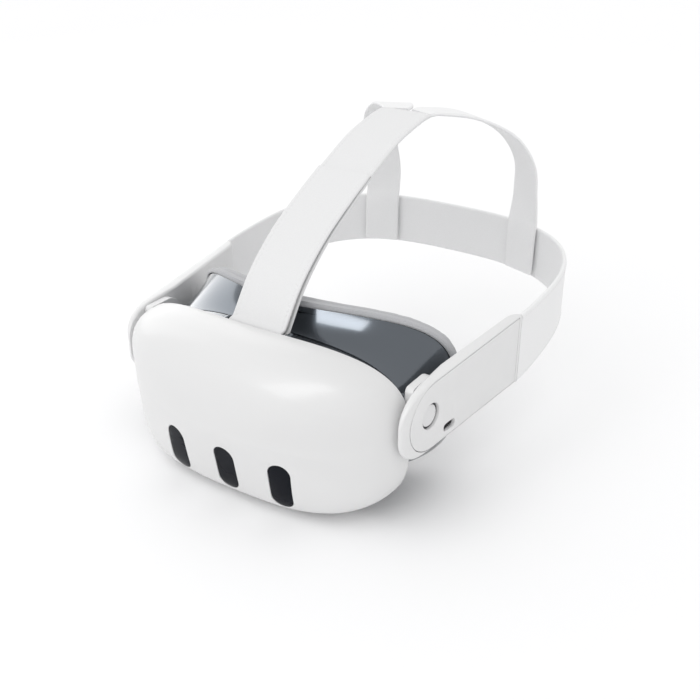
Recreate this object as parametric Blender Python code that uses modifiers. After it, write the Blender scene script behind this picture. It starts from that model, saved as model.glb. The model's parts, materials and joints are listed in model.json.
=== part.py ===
"""A virtual reality headset: a rounded visor with lenses, displays and electronics inside, a facial
interface with a foam cushion, and a head strap of two side arms, a rear band and a forked top strap.

Metres, +Z up. The origin is the middle of the flat rest face under the visor, the visor looks along -Y
and +X is the wearer's left. The strap arms turn about X on the pins in the hinge mounts."""

import math

import bmesh
import bpy
from mathutils import Matrix, Vector

MM = 0.001
GAP = 0.3 * MM  # between pieces that touch

# Visor
HALF_WIDTH = 92.5 * MM
HALF_HEIGHT = 49.3 * MM
CENTRE_Z = 51 * MM
CORNER = 3.3  # exponent of the rounded-rectangle outline
DOME_SIDE, DOME_TOP, DOME_LOW = 2.1, 0.7, 1.2  # bulge exponent at the sides, and its rise up and down
FRONT_Y = -40.4 * MM
EDGE_Y = -7.9 * MM  # rear edge of the front shell, at the middle
EDGE_CURVE = 1.5  # 1/m: the rear edge runs back by this times x squared
# The lower front is flat where the windows are: start and length below the middle, and depth of the flat
CHIN_START, CHIN_LENGTH, CHIN_DEPTH = 2 * MM, 41 * MM, 15.6 * MM
SHELL_WALL = 2.2 * MM
SHELL_POINTS = 40  # points round each ring of the shell
SHELL_SHARES = (0.25, 0.48, 0.68, 0.83, 0.9, 0.95, 0.985, 1.0)  # of the way from its tip to its rear edge
HOUSING_POINTS = 40
FACE_POINTS = 48

# Sensor windows in the front shell
WINDOW_WIDTH = 13.4 * MM
WINDOW_LENGTH = 30 * MM
WINDOW_THICK = 1.6 * MM
WINDOW_TILT = math.radians(12)
WINDOW_Z = 24.3 * MM
WINDOWS = (  # name, x and y of the middle of its face, turn outwards in degrees
    ("right", -36 * MM, -33.7 * MM, -5),
    ("centre", 0.0, -36.2 * MM, 0),
    ("left", 36 * MM, -33.7 * MM, 5),
)

# Lenses and the wheel that sets their spacing
LENS_X = 32.3 * MM
LENS_RADIUS = 22 * MM
BARREL_RADIUS = 26 * MM
BARREL_FRONT, BARREL_REAR = -9.5 * MM, 1.5 * MM
RAIL_RADIUS = 1.5 * MM
RAIL_Y = -7.5 * MM
RAILS = (("upper", 81.5 * MM, 60 * MM), ("lower", 14.5 * MM, 46 * MM))  # name, z, half length
MODULE = 0.8 * MM
PINION_TEETH = 12
PITCH_RADIUS = MODULE * PINION_TEETH / 2
TOOTH_SHARE = 0.4  # part of the pitch that a tooth fills, which leaves backlash
WHEEL_RADIUS = 18 * MM
WHEEL_Z = 19 * MM
WHEEL_Y = (2 * MM, 5.6 * MM)
RACK_Y = (-3 * MM, 1 * MM)

# Buttons under the visor
POWER_X, POWER_HALF = 24 * MM, 5 * MM
VOLUME_X, VOLUME_HALF = 46 * MM, 8 * MM
VOLUME_SLOPE = math.radians(6)  # follows the visor's curve
BUTTON_Y = (-18 * MM, -13 * MM)

# Chassis, housing and facial interface
CHASSIS_Y = (-15.5 * MM, -12.5 * MM)
CHASSIS_HALF = (76 * MM, 38.5 * MM)
BULKHEAD_Y = (6.5 * MM, 8.5 * MM)
BULKHEAD_HALF = (85.1 * MM, 40 * MM)
ANCHOR_LUG_X = (19.6 * MM, 22.6 * MM)
PIVOT_BOSS_X = (83 * MM, 87.9 * MM)
CELL_X = (64.5 * MM, 80.5 * MM)
HOUSING_REAR = 12.8 * MM
HOUSING_RINGS = (  # half width, half height, centre z, y, sweep
    (86.6 * MM, 44.8 * MM, 51 * MM, -12.5 * MM, EDGE_CURVE),
    (87.2 * MM, 44.8 * MM, 51 * MM, -7 * MM, EDGE_CURVE),
    (86.6 * MM, 41.6 * MM, 49.7 * MM, 0, 0.8),
    (86.2 * MM, 41 * MM, 49.3 * MM, 6 * MM, 0.3),
    (86 * MM, 41 * MM, 49.2 * MM, HOUSING_REAR, 0),
)
BOARD_Y = (-18.6 * MM, -17 * MM)
FAN_X, FAN_Z = 26 * MM, 66 * MM
POSTS = [(x * 64 * MM, z * MM) for x in (-1, 1) for z in (24, 76)]
RIM_Y = 21.5 * MM  # rear face of the interface's rim, at the middle
RIM_CURVE = 4.8  # 1/m, the sweep of the face
RIM_Z = 52.7 * MM
FLANGE_HALF = (70 * MM, 37 * MM)
FLANGE_WALL = 2 * MM
FLAP_THICK = 1.2 * MM
NOSE_RISE, NOSE_WIDTH = 24 * MM, 17 * MM

# Strap pivot and side arms
PIVOT_Y, PIVOT_Z = 15 * MM, 64.5 * MM
PIN_RADIUS = 4 * MM
ARM_INNER = 93.2 * MM
ARM_FRONT, ARM_FULL, ARM_REAR = -9 * MM, 17 * MM, 104 * MM
COVER_THICK = 1.9 * MM
ARM_STATIONS = (  # y in millimetres, share of the arm's thickness there
    (-8.7, 0.25),
    (-7.6, 0.5),
    (-5.5, 0.78),
    (-3.2, 0.93),
    (0, 1),
    (5, 1),
    (10, 1),
    (17, 1),
    (34, 1),
    (60, 1),
    (85, 1),
    (98, 0.98),
    (102, 0.8),
    (104, 0.45),
)
MOUNT_CORNERS = (  # y and z of the middle of each corner and its radius, from the top rear one forwards
    (21.5 * MM, 72.8 * MM, 10 * MM),
    (8.6 * MM, 79.8 * MM, 3 * MM),
    (8.6 * MM, 49 * MM, 3 * MM),
    (21.5 * MM, 56 * MM, 10 * MM),
)
SPEAKER_Y, SPEAKER_Z = 58 * MM, 64 * MM
PORT_Y, PORT_Z = 33 * MM, 50.5 * MM

# Head strap
BAND_THICK = 2.6 * MM
BAND_START = 104.4 * MM
BAND_CENTRE_Y = 130 * MM
BAND_HALF_WIDTH = 109.2 * MM
BAND_DEPTH = 101.7 * MM
BAND_CORNER = 2.8
STRAP_HALF_WIDTH = 18 * MM
STRAP_THICK = 2 * MM
LEG_HALF_WIDTH = 12.3 * MM

# Lines that the straps follow, in millimetres
STRAP_LINE = ((0, 0, 98.6), (0, 16.5, 119.5), (0, 39, 137.5), (0, 66, 152.4), (0, 84.4, 161.2))
CROWN_LINE = ((0, 84.8, 161.4), (0, 115, 174), (0, 142, 180.2), (0, 156, 181.6))
LEG_LINE = (
    (9.2, 156.6, 181.7),
    (13, 166, 181.5),
    (29, 185, 177),
    (47, 204, 164),
    (56, 216, 144),
    (56, 222.4, 121),
    (56, 222.6, 106),
    (56, 221.1, 92),
    (56, 220.9, 62.8),
)

# Materials: name, colour, roughness, metallic
WHITE_GLOSS = ("white_gloss", (0.84, 0.84, 0.85), 0.25, 0)
WHITE_SATIN = ("white_satin", (0.78, 0.78, 0.79), 0.45, 0)
DARK_SATIN = ("dark_satin", (0.10, 0.12, 0.15), 0.35, 0)
BLACK_GLASS = ("black_glass", (0.02, 0.025, 0.035), 0.08, 0)
FOAM = ("foam", (0.36, 0.36, 0.39), 0.9, 0)
WEBBING = ("webbing", (0.74, 0.74, 0.75), 0.85, 0)
RUBBER = ("rubber", (0.07, 0.07, 0.08), 0.7, 0)
GREEN_BOARD = ("green_board", (0.02, 0.16, 0.07), 0.5, 0)
ALUMINIUM = ("aluminium", (0.66, 0.67, 0.69), 0.4, 1)
STEEL = ("steel", (0.62, 0.62, 0.63), 0.3, 1)
BLACK_PLASTIC = ("black_plastic", (0.03, 0.03, 0.035), 0.5, 0)
LENS_GLASS = ("lens_glass", (0.55, 0.6, 0.68), 0.05, 0)
CELL_WRAP = ("cell_wrap", (0.20, 0.21, 0.24), 0.4, 0)


def clear_scene():
    for obj in list(bpy.data.objects):
        bpy.data.objects.remove(obj, do_unlink=True)


clear_scene()
PARTS = bpy.data.collections.new("vr_headset")
CUTTERS = bpy.data.collections.new("cutters")
for collection in (PARTS, CUTTERS):
    bpy.context.scene.collection.children.link(collection)


# Materials, objects and modifiers


def material(spec):
    name, colour, roughness, metallic = spec
    found = bpy.data.materials.get(name)
    if found:
        return found
    made = bpy.data.materials.new(name)
    made.use_nodes = True
    shader = made.node_tree.nodes["Principled BSDF"]
    shader.inputs["Base Color"].default_value = (*colour, 1)
    shader.inputs["Roughness"].default_value = roughness
    shader.inputs["Metallic"].default_value = metallic
    return made


def add(name, bm, spec=None, origin=(0, 0, 0)):
    """An object from a bmesh in world coordinates, with its origin moved to the given point."""
    mesh = bpy.data.meshes.new(name)
    bm.to_mesh(mesh)
    bm.free()
    mesh.transform(Matrix.Translation(-Vector(origin)))
    obj = bpy.data.objects.new(name, mesh)
    obj.location = origin
    if spec is None:
        CUTTERS.objects.link(obj)
        obj.hide_render = True
        obj.display_type = "WIRE"
        return obj
    mesh.materials.append(material(spec))
    mesh.shade_smooth()
    mesh.set_sharp_from_angle(angle=math.radians(35))
    PARTS.objects.link(obj)
    return obj


def combine(obj, other, operation="DIFFERENCE"):
    modifier = obj.modifiers.new(operation.lower() + "_" + other.name, "BOOLEAN")
    modifier.operation = operation
    modifier.object = other
    modifier.solver = "EXACT"


def bevel(obj, width, segments=2):
    modifier = obj.modifiers.new("bevel", "BEVEL")
    modifier.width = width
    modifier.segments = segments
    modifier.limit_method = "ANGLE"
    modifier.angle_limit = math.radians(40)


def solidify(obj, thickness):
    modifier = obj.modifiers.new("wall", "SOLIDIFY")
    modifier.thickness = thickness
    modifier.offset = -1
    modifier.use_even_offset = True


def joint_empty(name, location):
    empty = bpy.data.objects.new(name, None)
    empty.location = location
    PARTS.objects.link(empty)
    return empty


def hang(empty, *pieces):
    """Parents the pieces to a joint's empty, where they are."""
    for piece in pieces:
        piece.parent = empty
        piece.matrix_parent_inverse = Matrix.Translation(-empty.location)


# Basic shapes, as bmeshes in world coordinates


def box(low, high):
    bm = bmesh.new()
    bmesh.ops.create_cube(bm, size=1)
    low, high = Vector(low), Vector(high)
    bmesh.ops.scale(bm, vec=high - low, verts=bm.verts)
    bmesh.ops.translate(bm, vec=(low + high) / 2, verts=bm.verts)
    return bm


def cylinder(start, end, radius, segments=24, end_radius=None):
    start, end = Vector(start), Vector(end)
    bm = bmesh.new()
    bmesh.ops.create_cone(
        bm,
        cap_ends=True,
        segments=segments,
        radius1=radius,
        radius2=radius if end_radius is None else end_radius,
        depth=(end - start).length,
    )
    turn = Vector((0, 0, 1)).rotation_difference(end - start).to_matrix().to_4x4()
    bmesh.ops.transform(bm, matrix=Matrix.Translation((start + end) / 2) @ turn, verts=bm.verts)
    return bm


def rod_x(start, end, y, z, radius, segments=24):
    """A cylinder along X."""
    return cylinder((start, y, z), (end, y, z), radius, segments)


def on_side(side, inner, outer):
    """Lower and higher X of something between these distances from the middle, on one side of it."""
    return sorted((side * inner, side * outer))


def loft(rings, caps=True, closed=False):
    """Quads between rings of equally many points. With closed, the last ring meets the first."""
    bm = bmesh.new()
    rows = [[bm.verts.new(point) for point in ring] for ring in rings]
    pairs = list(zip(rows, rows[1:] + rows[:1])) if closed else list(zip(rows, rows[1:]))
    for first, second in pairs:
        for i in range(len(first)):
            j = (i + 1) % len(first)
            bm.faces.new((first[i], first[j], second[j], second[i]))
    if caps and not closed:
        bm.faces.new(rows[0])
        bm.faces.new(rows[-1])
    if caps or closed:
        bmesh.ops.recalc_face_normals(bm, faces=bm.faces)
    return bm


def plate(outline, thickness, matrix):
    """A flat closed outline, given as (x, y) points, made solid along Z about the plane Z = 0."""
    half = thickness / 2
    rings = [[matrix @ Vector((x, y, z)) for x, y in outline] for z in (-half, half)]
    return loft(rings)


def facing_y(x, y, z):
    """Places a plate's X along X and its Y along Z, so that it stands across the Y axis."""
    return Matrix.Translation((x, y, z)) @ Matrix.Rotation(math.pi / 2, 4, "X")


def stadium(width, length, arc=9):
    """A slot outline with round ends, longest along its own Y."""
    radius = width / 2
    points = []
    for end in (1, -1):
        for i in range(arc):
            turn = math.pi * i / (arc - 1)
            y = length / 2 - radius + radius * math.sin(turn)
            points.append((end * radius * math.cos(turn), end * y))
    return points


def power(value, exponent):
    return math.copysign(abs(value) ** exponent, value)


def rounded(half_width, half_height, corner=CORNER, count=40):
    """A rounded rectangle (superellipse) as (x, y) points at even angles."""
    points = []
    for i in range(count):
        turn = 2 * math.pi * (i + 0.5) / count
        x, y = math.cos(turn), math.sin(turn)
        reach = (abs(x) ** corner + abs(y) ** corner) ** (-1 / corner)
        points.append((half_width * reach * x, half_height * reach * y))
    return points


def smooth_path(points, steps):
    """Points along a Catmull-Rom curve through the given ones."""
    points = [Vector(point) for point in points]
    ends = [2 * points[0] - points[1], *points, 2 * points[-1] - points[-2]]
    path = []
    for a, b, c, d in zip(ends, ends[1:], ends[2:], ends[3:]):
        for i in range(steps):
            t = i / steps
            square = (2 * a - 5 * b + 4 * c - d) * t**2
            cube = (3 * b - a - 3 * c + d) * t**3
            path.append((2 * b + (c - a) * t + square + cube) / 2)
    return [*path, points[-1]]


def ribbon(path, across, half_width, thickness):
    """A flat strap along a path. across gives the direction of its width at each point."""
    rings = []
    for i, point in enumerate(path):
        along = (path[min(i + 1, len(path) - 1)] - path[max(i - 1, 0)]).normalized()
        side = (across[i] - along * across[i].dot(along)).normalized() * half_width
        out = along.cross(side).normalized() * thickness / 2
        rings.append([point + side + out, point - side + out, point - side - out, point + side - out])
    return loft(rings)


# Visor: front shell, windows and cameras


def shell_ring(share, count=SHELL_POINTS):
    """A ring of the visor's outer surface: 0 is its foremost point and 1 its rear edge."""
    ring = []
    for i in range(count):
        turn = 2 * math.pi * (i + 0.5) / count
        x = HALF_WIDTH * power(math.cos(turn), 2 / CORNER)
        z = HALF_HEIGHT * power(math.sin(turn), 2 / CORNER)
        upright = abs(math.sin(turn))
        dome = DOME_SIDE + (DOME_TOP * upright if z > 0 else DOME_LOW * upright**2)
        back = 1 - (1 - share**dome) ** (1 / dome)
        edge = EDGE_Y + EDGE_CURVE * x * x
        y = FRONT_Y + (edge - FRONT_Y) * back + chin(x * share, z * share)
        ring.append(Vector((x * share, y, CENTRE_Z + z * share)))
    return ring


def chin(x, z):
    """How far the flat lower front, which holds the windows, lies behind the even dome."""
    reach = max(0.02, 1 - abs(x / HALF_WIDTH) ** CORNER) ** (1 / CORNER)
    share = (-z / reach - CHIN_START) / CHIN_LENGTH
    if not 0 < share < 1:
        return 0.0
    return CHIN_DEPTH * share**1.5 * (1 - share) * (1 - (x / HALF_WIDTH) ** 4)


def window_matrix(x, y, turn_out, inwards=0.0):
    """Local X across a window, Y up along it and Z out of it. inwards moves it behind the face."""
    tilt = Matrix.Rotation(math.pi / 2 + WINDOW_TILT, 4, "X")
    turn = Matrix.Rotation(math.radians(turn_out), 4, "Z")
    return Matrix.Translation((x, y, WINDOW_Z)) @ turn @ tilt @ Matrix.Translation((0, 0, -inwards))


def visor_surface(name, spec, thickness):
    """The visor's outer surface as an object, open at the rear, with a wall of this thickness inside it."""
    bm = loft([shell_ring(share) for share in SHELL_SHARES], caps=False)
    bm.verts.ensure_lookup_table()
    front = bm.faces.new(bm.verts[:SHELL_POINTS])
    centre = bmesh.ops.poke(bm, faces=[front])["verts"][0]
    centre.co = Vector((0, FRONT_Y, CENTRE_Z))
    bmesh.ops.recalc_face_normals(bm, faces=bm.faces)
    if max(bm.faces, key=lambda face: face.calc_center_median().z).normal.z < 0:
        bmesh.ops.reverse_faces(bm, faces=bm.faces)
    surface = add(name, bm, spec)
    solidify(surface, thickness)
    return surface


def make_front_shell():
    shell = visor_surface("front_shell", WHITE_GLOSS, SHELL_WALL)
    for name, x, y, turn_out in WINDOWS:
        opening = stadium(WINDOW_WIDTH + 2 * GAP, WINDOW_LENGTH + 2 * GAP)
        combine(shell, add("window_opening_" + name, plate(opening, 24 * MM, window_matrix(x, y, turn_out))))
    for i in range(4):
        x = (-52 + 6 * i) * MM
        combine(shell, add(f"air_slot_{i}", box((x, -22 * MM, -2 * MM), (x + 2.4 * MM, -12 * MM, 12 * MM))))
    for name, x, half in (("power", POWER_X, POWER_HALF), ("volume", VOLUME_X, VOLUME_HALF + 0.8 * MM)):
        hole = box((x - half - GAP, BUTTON_Y[0] - GAP, -2 * MM), (x + half + GAP, BUTTON_Y[1] + GAP, 12 * MM))
        combine(shell, add(name + "_opening", hole))


def make_windows():
    """Curved glass that follows the shell, a little below its surface."""
    for name, x, y, turn_out in WINDOWS:
        glass = visor_surface("sensor_window_" + name, BLACK_GLASS, WINDOW_THICK)
        glass.location.y += GAP
        outline = stadium(WINDOW_WIDTH, WINDOW_LENGTH)
        prism = add("window_prism_" + name, plate(outline, 20 * MM, window_matrix(x, y, turn_out)))
        combine(glass, prism, "INTERSECT")


def make_camera(name, window, up, spec):
    """A camera behind a window, this far up it from the middle: a square body with a lens barrel."""
    x, y, turn_out = window[1:]
    place = window_matrix(x, y, turn_out, WINDOW_THICK + 0.8 * MM)
    front, neck = (place @ Vector((0, up, -depth)) for depth in (0, 3.2 * MM))
    barrel = add(name, cylinder(neck, front, 3.6 * MM, 20, 3.2 * MM), spec)
    half = 4.4 * MM
    square = [(half, half), (-half, half), (-half, -half), (half, -half)]
    centre = place @ Matrix.Translation((0, up, -5.5 * MM))
    body = plate(square, 5 * MM, centre)
    combine(barrel, add(name + "_body", body), "UNION")


def make_cameras():
    by_name = {window[0]: window for window in WINDOWS}
    make_camera("tracking_camera_left", by_name["left"], 6 * MM, BLACK_PLASTIC)
    make_camera("tracking_camera_right", by_name["right"], 6 * MM, BLACK_PLASTIC)
    make_camera("colour_camera", by_name["centre"], 8 * MM, BLACK_PLASTIC)
    make_camera("depth_projector", by_name["centre"], -5 * MM, STEEL)
    place = window_matrix(0, WINDOWS[1][2], 0, 14.4 * MM)
    outline = rounded(46 * MM, 13 * MM, 5, 24)
    add("camera_bracket", plate(outline, 1.2 * MM, place), ALUMINIUM)


# Visor: chassis, electronics and batteries


def make_chassis():
    middle = (CHASSIS_Y[0] + CHASSIS_Y[1]) / 2
    thick = CHASSIS_Y[1] - CHASSIS_Y[0]
    outline = rounded(*CHASSIS_HALF, count=32)
    chassis = add("chassis", plate(outline, thick, facing_y(0, middle, CENTRE_Z)), ALUMINIUM)
    for side in (-1, 1):
        hole = plate(rounded(18 * MM, 16 * MM, 4, 16), 3 * thick, facing_y(side * 38 * MM, middle, 50 * MM))
        combine(chassis, add(f"chassis_window_{side}", hole))
        for name, z, reach in RAILS:
            x = side * reach
            lug = box((x - 2 * MM, CHASSIS_Y[0] + MM, z - 3 * MM), (x + 2 * MM, -5 * MM, z + 3 * MM))
            combine(chassis, add(f"rail_lug_{name}_{side}", lug), "UNION")
    for name, z, reach in RAILS:
        bore = rod_x(-reach - 4 * MM, reach + 4 * MM, RAIL_Y, z, RAIL_RADIUS + 0.35 * MM, 12)
        combine(chassis, add("rail_bore_" + name, bore))
    shaft_bore = cylinder((0, -17 * MM, WHEEL_Z), (0, -11 * MM, WHEEL_Z), 1.9 * MM, 16)
    combine(chassis, add("wheel_shaft_bore", shaft_bore))
    for i, (x, z) in enumerate(POSTS):
        hole = cylinder((x, -17 * MM, z), (x, -11 * MM, z), 1.4 * MM, 12)
        combine(chassis, add(f"chassis_screw_hole_{i}", hole))


def make_screws():
    for i, (x, z) in enumerate(POSTS):
        head = CHASSIS_Y[0] - GAP
        disc = cylinder((x, head - 1.5 * MM, z), (x, head, z), 2.3 * MM, 16)
        screw = add(f"chassis_screw_{i + 1}", disc, STEEL)
        shank = add(f"screw_shank_{i + 1}", cylinder((x, head - MM, z), (x, -5 * MM, z), MM, 10))
        combine(screw, shank, "UNION")
        slot = box((x - 0.3 * MM, head - 2 * MM, z - 1.6 * MM), (x + 0.3 * MM, head - 1.0 * MM, z + 1.6 * MM))
        combine(screw, add(f"screw_slot_{i + 1}", slot))


def make_electronics():
    panel = box((-54 * MM, BOARD_Y[0], 44 * MM), (54 * MM, BOARD_Y[1], 85 * MM))
    board = add("main_board", panel, GREEN_BOARD)
    shield = box((-52 * MM, BOARD_Y[0] - 1.6 * MM, 50 * MM), (-34 * MM, BOARD_Y[0] + 0.5 * MM, 78 * MM))
    combine(board, add("board_shield", shield), "UNION")
    connector = box((4 * MM, BOARD_Y[0] - 2 * MM, 46 * MM), (10 * MM, BOARD_Y[0] + 0.5 * MM, 60 * MM))
    combine(board, add("board_connector", connector), "UNION")
    make_heat_sink()
    make_fan()
    for side, name in ((1, "left"), (-1, "right")):
        low, high = on_side(side, *CELL_X)
        cell = box((low, -11.5 * MM, 32 * MM), (high, 5.5 * MM, 70 * MM))
        bevel(add("battery_" + name, cell, CELL_WRAP), 2 * MM)


def make_heat_sink():
    """A base with upright fins, as one comb outline drawn in X and Y and carried along Z."""
    base, fin, pitch, count = 2 * MM, 1.1 * MM, 3.1 * MM, 10
    rear = BOARD_Y[0] - GAP
    front = rear - 7 * MM
    start = -28 * MM
    outline = [(start, rear)]
    for i in range(count):
        x = start + i * pitch
        outline += [(x, front), (x + fin, front)]
        outline += [(x + fin, rear - base), (x + pitch, rear - base)] if i < count - 1 else [(x + fin, rear)]
    centre = Matrix.Translation((0, 0, 66 * MM))
    add("heat_sink", plate(outline, 30 * MM, centre), ALUMINIUM)


def make_fan():
    front, rear = BOARD_Y[0] - GAP - 7.5 * MM, BOARD_Y[0] - GAP
    half = 15 * MM
    frame = box((FAN_X - half, front, FAN_Z - half), (FAN_X + half, rear, FAN_Z + half))
    housing = add("fan_housing", frame, BLACK_PLASTIC)
    well = cylinder((FAN_X, front - MM, FAN_Z), (FAN_X, rear - 1.2 * MM, FAN_Z), 13.2 * MM, 28)
    combine(housing, add("fan_well", well))
    hub = 5 * MM
    tip = 12.4 * MM
    blades = 7
    outline = []
    for i in range(blades):
        start = 2 * math.pi * i / blades
        for radius, turn in ((hub, 0.0), (tip, 0.25), (tip, 0.42), (hub, 0.45), (hub, 0.68)):
            outline.append((radius * math.cos(start + turn), radius * math.sin(start + turn)))
    middle = (front + rear) / 2 - 0.4 * MM
    bm = plate(outline, 4.4 * MM, facing_y(FAN_X, middle, FAN_Z))
    rotor = add("fan_rotor", bm, BLACK_PLASTIC, (FAN_X, middle, FAN_Z))
    hang(joint_empty("fan_axis", (FAN_X, middle, FAN_Z)), rotor)


# Visor: rear housing, strap anchor and hinge mounts


def swept_ring(half_width, half_height, centre_z, y, sweep, count=HOUSING_POINTS):
    ring = []
    for x, z in rounded(half_width, half_height, count=count):
        ring.append(Vector((x, y + sweep * x * x, centre_z + z)))
    return ring


def outward(bm):
    """Turns an open skirt's faces so that they point away from its middle."""
    bmesh.ops.recalc_face_normals(bm, faces=bm.faces)
    side = max(bm.faces, key=lambda face: face.calc_center_median().x)
    if side.normal.x < 0:
        bmesh.ops.reverse_faces(bm, faces=bm.faces)
    return bm


def make_rear_housing():
    skirt = loft([swept_ring(*ring) for ring in HOUSING_RINGS], caps=False)
    housing = add("rear_housing", outward(skirt), DARK_SATIN)
    solidify(housing, 2 * MM)
    middle = (BULKHEAD_Y[0] + BULKHEAD_Y[1]) / 2
    thick = BULKHEAD_Y[1] - BULKHEAD_Y[0]
    wall = plate(rounded(*BULKHEAD_HALF, count=32), thick, facing_y(0, middle, HOUSING_RINGS[-1][2]))
    combine(housing, add("bulkhead", wall), "UNION")
    foot = add("rest_pad", box((-36 * MM, -3.6 * MM, 0), (36 * MM, 12 * MM, 9.3 * MM)))
    bevel(foot, 1.5 * MM, 1)
    combine(housing, foot, "UNION")
    for i, (x, z) in enumerate(POSTS):
        post = cylinder((x, -12.1 * MM, z), (x, 7.5 * MM, z), 3.2 * MM, 16)
        combine(housing, add(f"post_{i}", post), "UNION")
        thread = cylinder((x, -13 * MM, z), (x, -3 * MM, z), 1.3 * MM, 10)
        combine(housing, add(f"post_bore_{i}", thread))
    for side in (-1, 1):
        low, high = on_side(side, *ANCHOR_LUG_X)
        lug = box((low, -5.5 * MM, 90 * MM), (high, 0.3 * MM, 98.6 * MM))
        combine(housing, add(f"anchor_lug_{side}", lug), "UNION")
        low, high = on_side(side, *PIVOT_BOSS_X)
        boss = box((low, 6 * MM, 54 * MM), (high, 12.6 * MM, 75 * MM))
        combine(housing, add(f"pivot_boss_{side}", boss), "UNION")
        place = facing_y(side * LENS_X, middle, CENTRE_Z) @ Matrix.Rotation(math.pi / 2, 4, "Z")
        lens_hole = plate(stadium(46 * MM, 53 * MM, 13), 8 * MM, place)
        combine(housing, add(f"lens_opening_{side}", lens_hole))
    wheel_slot = box((-19.4 * MM, WHEEL_Y[0] - 0.4 * MM, -MM), (19.4 * MM, WHEEL_Y[1] + 0.4 * MM, 13 * MM))
    combine(housing, add("wheel_slot", wheel_slot))
    sensor = box((-3 * MM, BULKHEAD_Y[1] + GAP, 62 * MM), (3 * MM, BULKHEAD_Y[1] + 2 * MM, 68 * MM))
    bevel(add("proximity_sensor", sensor, BLACK_GLASS), 0.4 * MM, 1)
    bar = cylinder((-19.2 * MM, -2.6 * MM, 96.6 * MM), (19.2 * MM, -2.6 * MM, 96.6 * MM), 1.4 * MM, 12)
    add("strap_anchor", bar, STEEL)


def make_hinge_mount(side, name):
    """A block beside the visor, with the steel pin that the strap arm turns on."""
    rings = []
    for x in (88.3 * MM, ARM_INNER - GAP):
        ring = []
        for quarter, (y, z, radius) in enumerate(MOUNT_CORNERS):
            for i in range(6):
                turn = math.pi / 2 * (quarter + i / 5)
                ring.append(Vector((side * x, y + radius * math.cos(turn), z + radius * math.sin(turn))))
        rings.append(ring)
    mount = add("hinge_mount_" + name, loft(rings), WHITE_SATIN)
    bore = rod_x(side * 80 * MM, side * 97 * MM, PIVOT_Y, PIVOT_Z, PIN_RADIUS + GAP)
    combine(mount, add("mount_bore_" + name, bore))
    pin = rod_x(side * 88.6 * MM, side * 95.8 * MM, PIVOT_Y, PIVOT_Z, PIN_RADIUS)
    add("pivot_pin_" + name, pin, STEEL)


# Lenses and their spacing wheel


def tooth_offsets():
    """Half widths of a rack tooth at its tip, pitch line and root."""
    pitch = math.pi * MODULE
    half = pitch * TOOTH_SHARE / 2
    slope = math.tan(math.radians(20)) * MODULE
    return half - slope, half, half + slope


def rack_outline(start, end, phase, base):
    """Teeth pointing towards -Y on a bar of the given height, drawn about the pitch line Y = 0."""
    tip, _, root = tooth_offsets()
    pitch = math.pi * MODULE
    points = [(start, base), (start, 1.25 * MODULE)]
    first = math.ceil((start + 2 * root - phase) / pitch)
    last = math.floor((end - 2 * root - phase) / pitch)
    for i in range(first, last + 1):
        middle = phase + i * pitch
        points += [(middle - root, 1.25 * MODULE), (middle - tip, -0.9 * MODULE)]
        points += [(middle + tip, -0.9 * MODULE), (middle + root, 1.25 * MODULE)]
    return points + [(end, 1.25 * MODULE), (end, base)]


def pinion_outline():
    tip, half, _ = tooth_offsets()
    points = []
    for i in range(PINION_TEETH):
        middle = math.pi / 2 + 2 * math.pi * i / PINION_TEETH
        for radius, width in (
            (PITCH_RADIUS - 1.25 * MODULE, 1.15 * half),
            (PITCH_RADIUS, half),
            (PITCH_RADIUS + 0.9 * MODULE, tip),
        ):
            points.append((radius, middle - width / radius))
        for radius, width in (
            (PITCH_RADIUS + 0.9 * MODULE, tip),
            (PITCH_RADIUS, half),
            (PITCH_RADIUS - 1.25 * MODULE, 1.15 * half),
        ):
            points.append((radius, middle + width / radius))
    return [(radius * math.cos(turn), radius * math.sin(turn)) for radius, turn in points]


def make_wheel():
    thick = WHEEL_Y[1] - WHEEL_Y[0]
    knurls = 36
    root = WHEEL_RADIUS - 0.7 * MM
    outline = []
    for i in range(knurls):
        for share, radius in ((0.0, WHEEL_RADIUS), (0.3, WHEEL_RADIUS), (0.5, root), (0.8, root)):
            turn = 2 * math.pi * (i + share) / knurls
            outline.append((radius * math.cos(turn), radius * math.sin(turn)))
    origin = (0, WHEEL_Y[0], WHEEL_Z)
    disc = plate(outline, thick, facing_y(0, sum(WHEEL_Y) / 2, WHEEL_Z))
    wheel = add("ipd_wheel", disc, BLACK_PLASTIC, origin)
    pinion_y = (RACK_Y[0] - 0.4 * MM, WHEEL_Y[0] + 0.5 * MM)
    pinion = plate(pinion_outline(), pinion_y[1] - pinion_y[0], facing_y(0, sum(pinion_y) / 2, WHEEL_Z))
    combine(wheel, add("pinion", pinion), "UNION")
    shaft = cylinder((0, -14.5 * MM, WHEEL_Z), (0, pinion_y[0] + MM, WHEEL_Z), 1.5 * MM, 16)
    combine(wheel, add("wheel_shaft", shaft), "UNION")
    hang(joint_empty("ipd_wheel_axis", origin), wheel)


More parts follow.
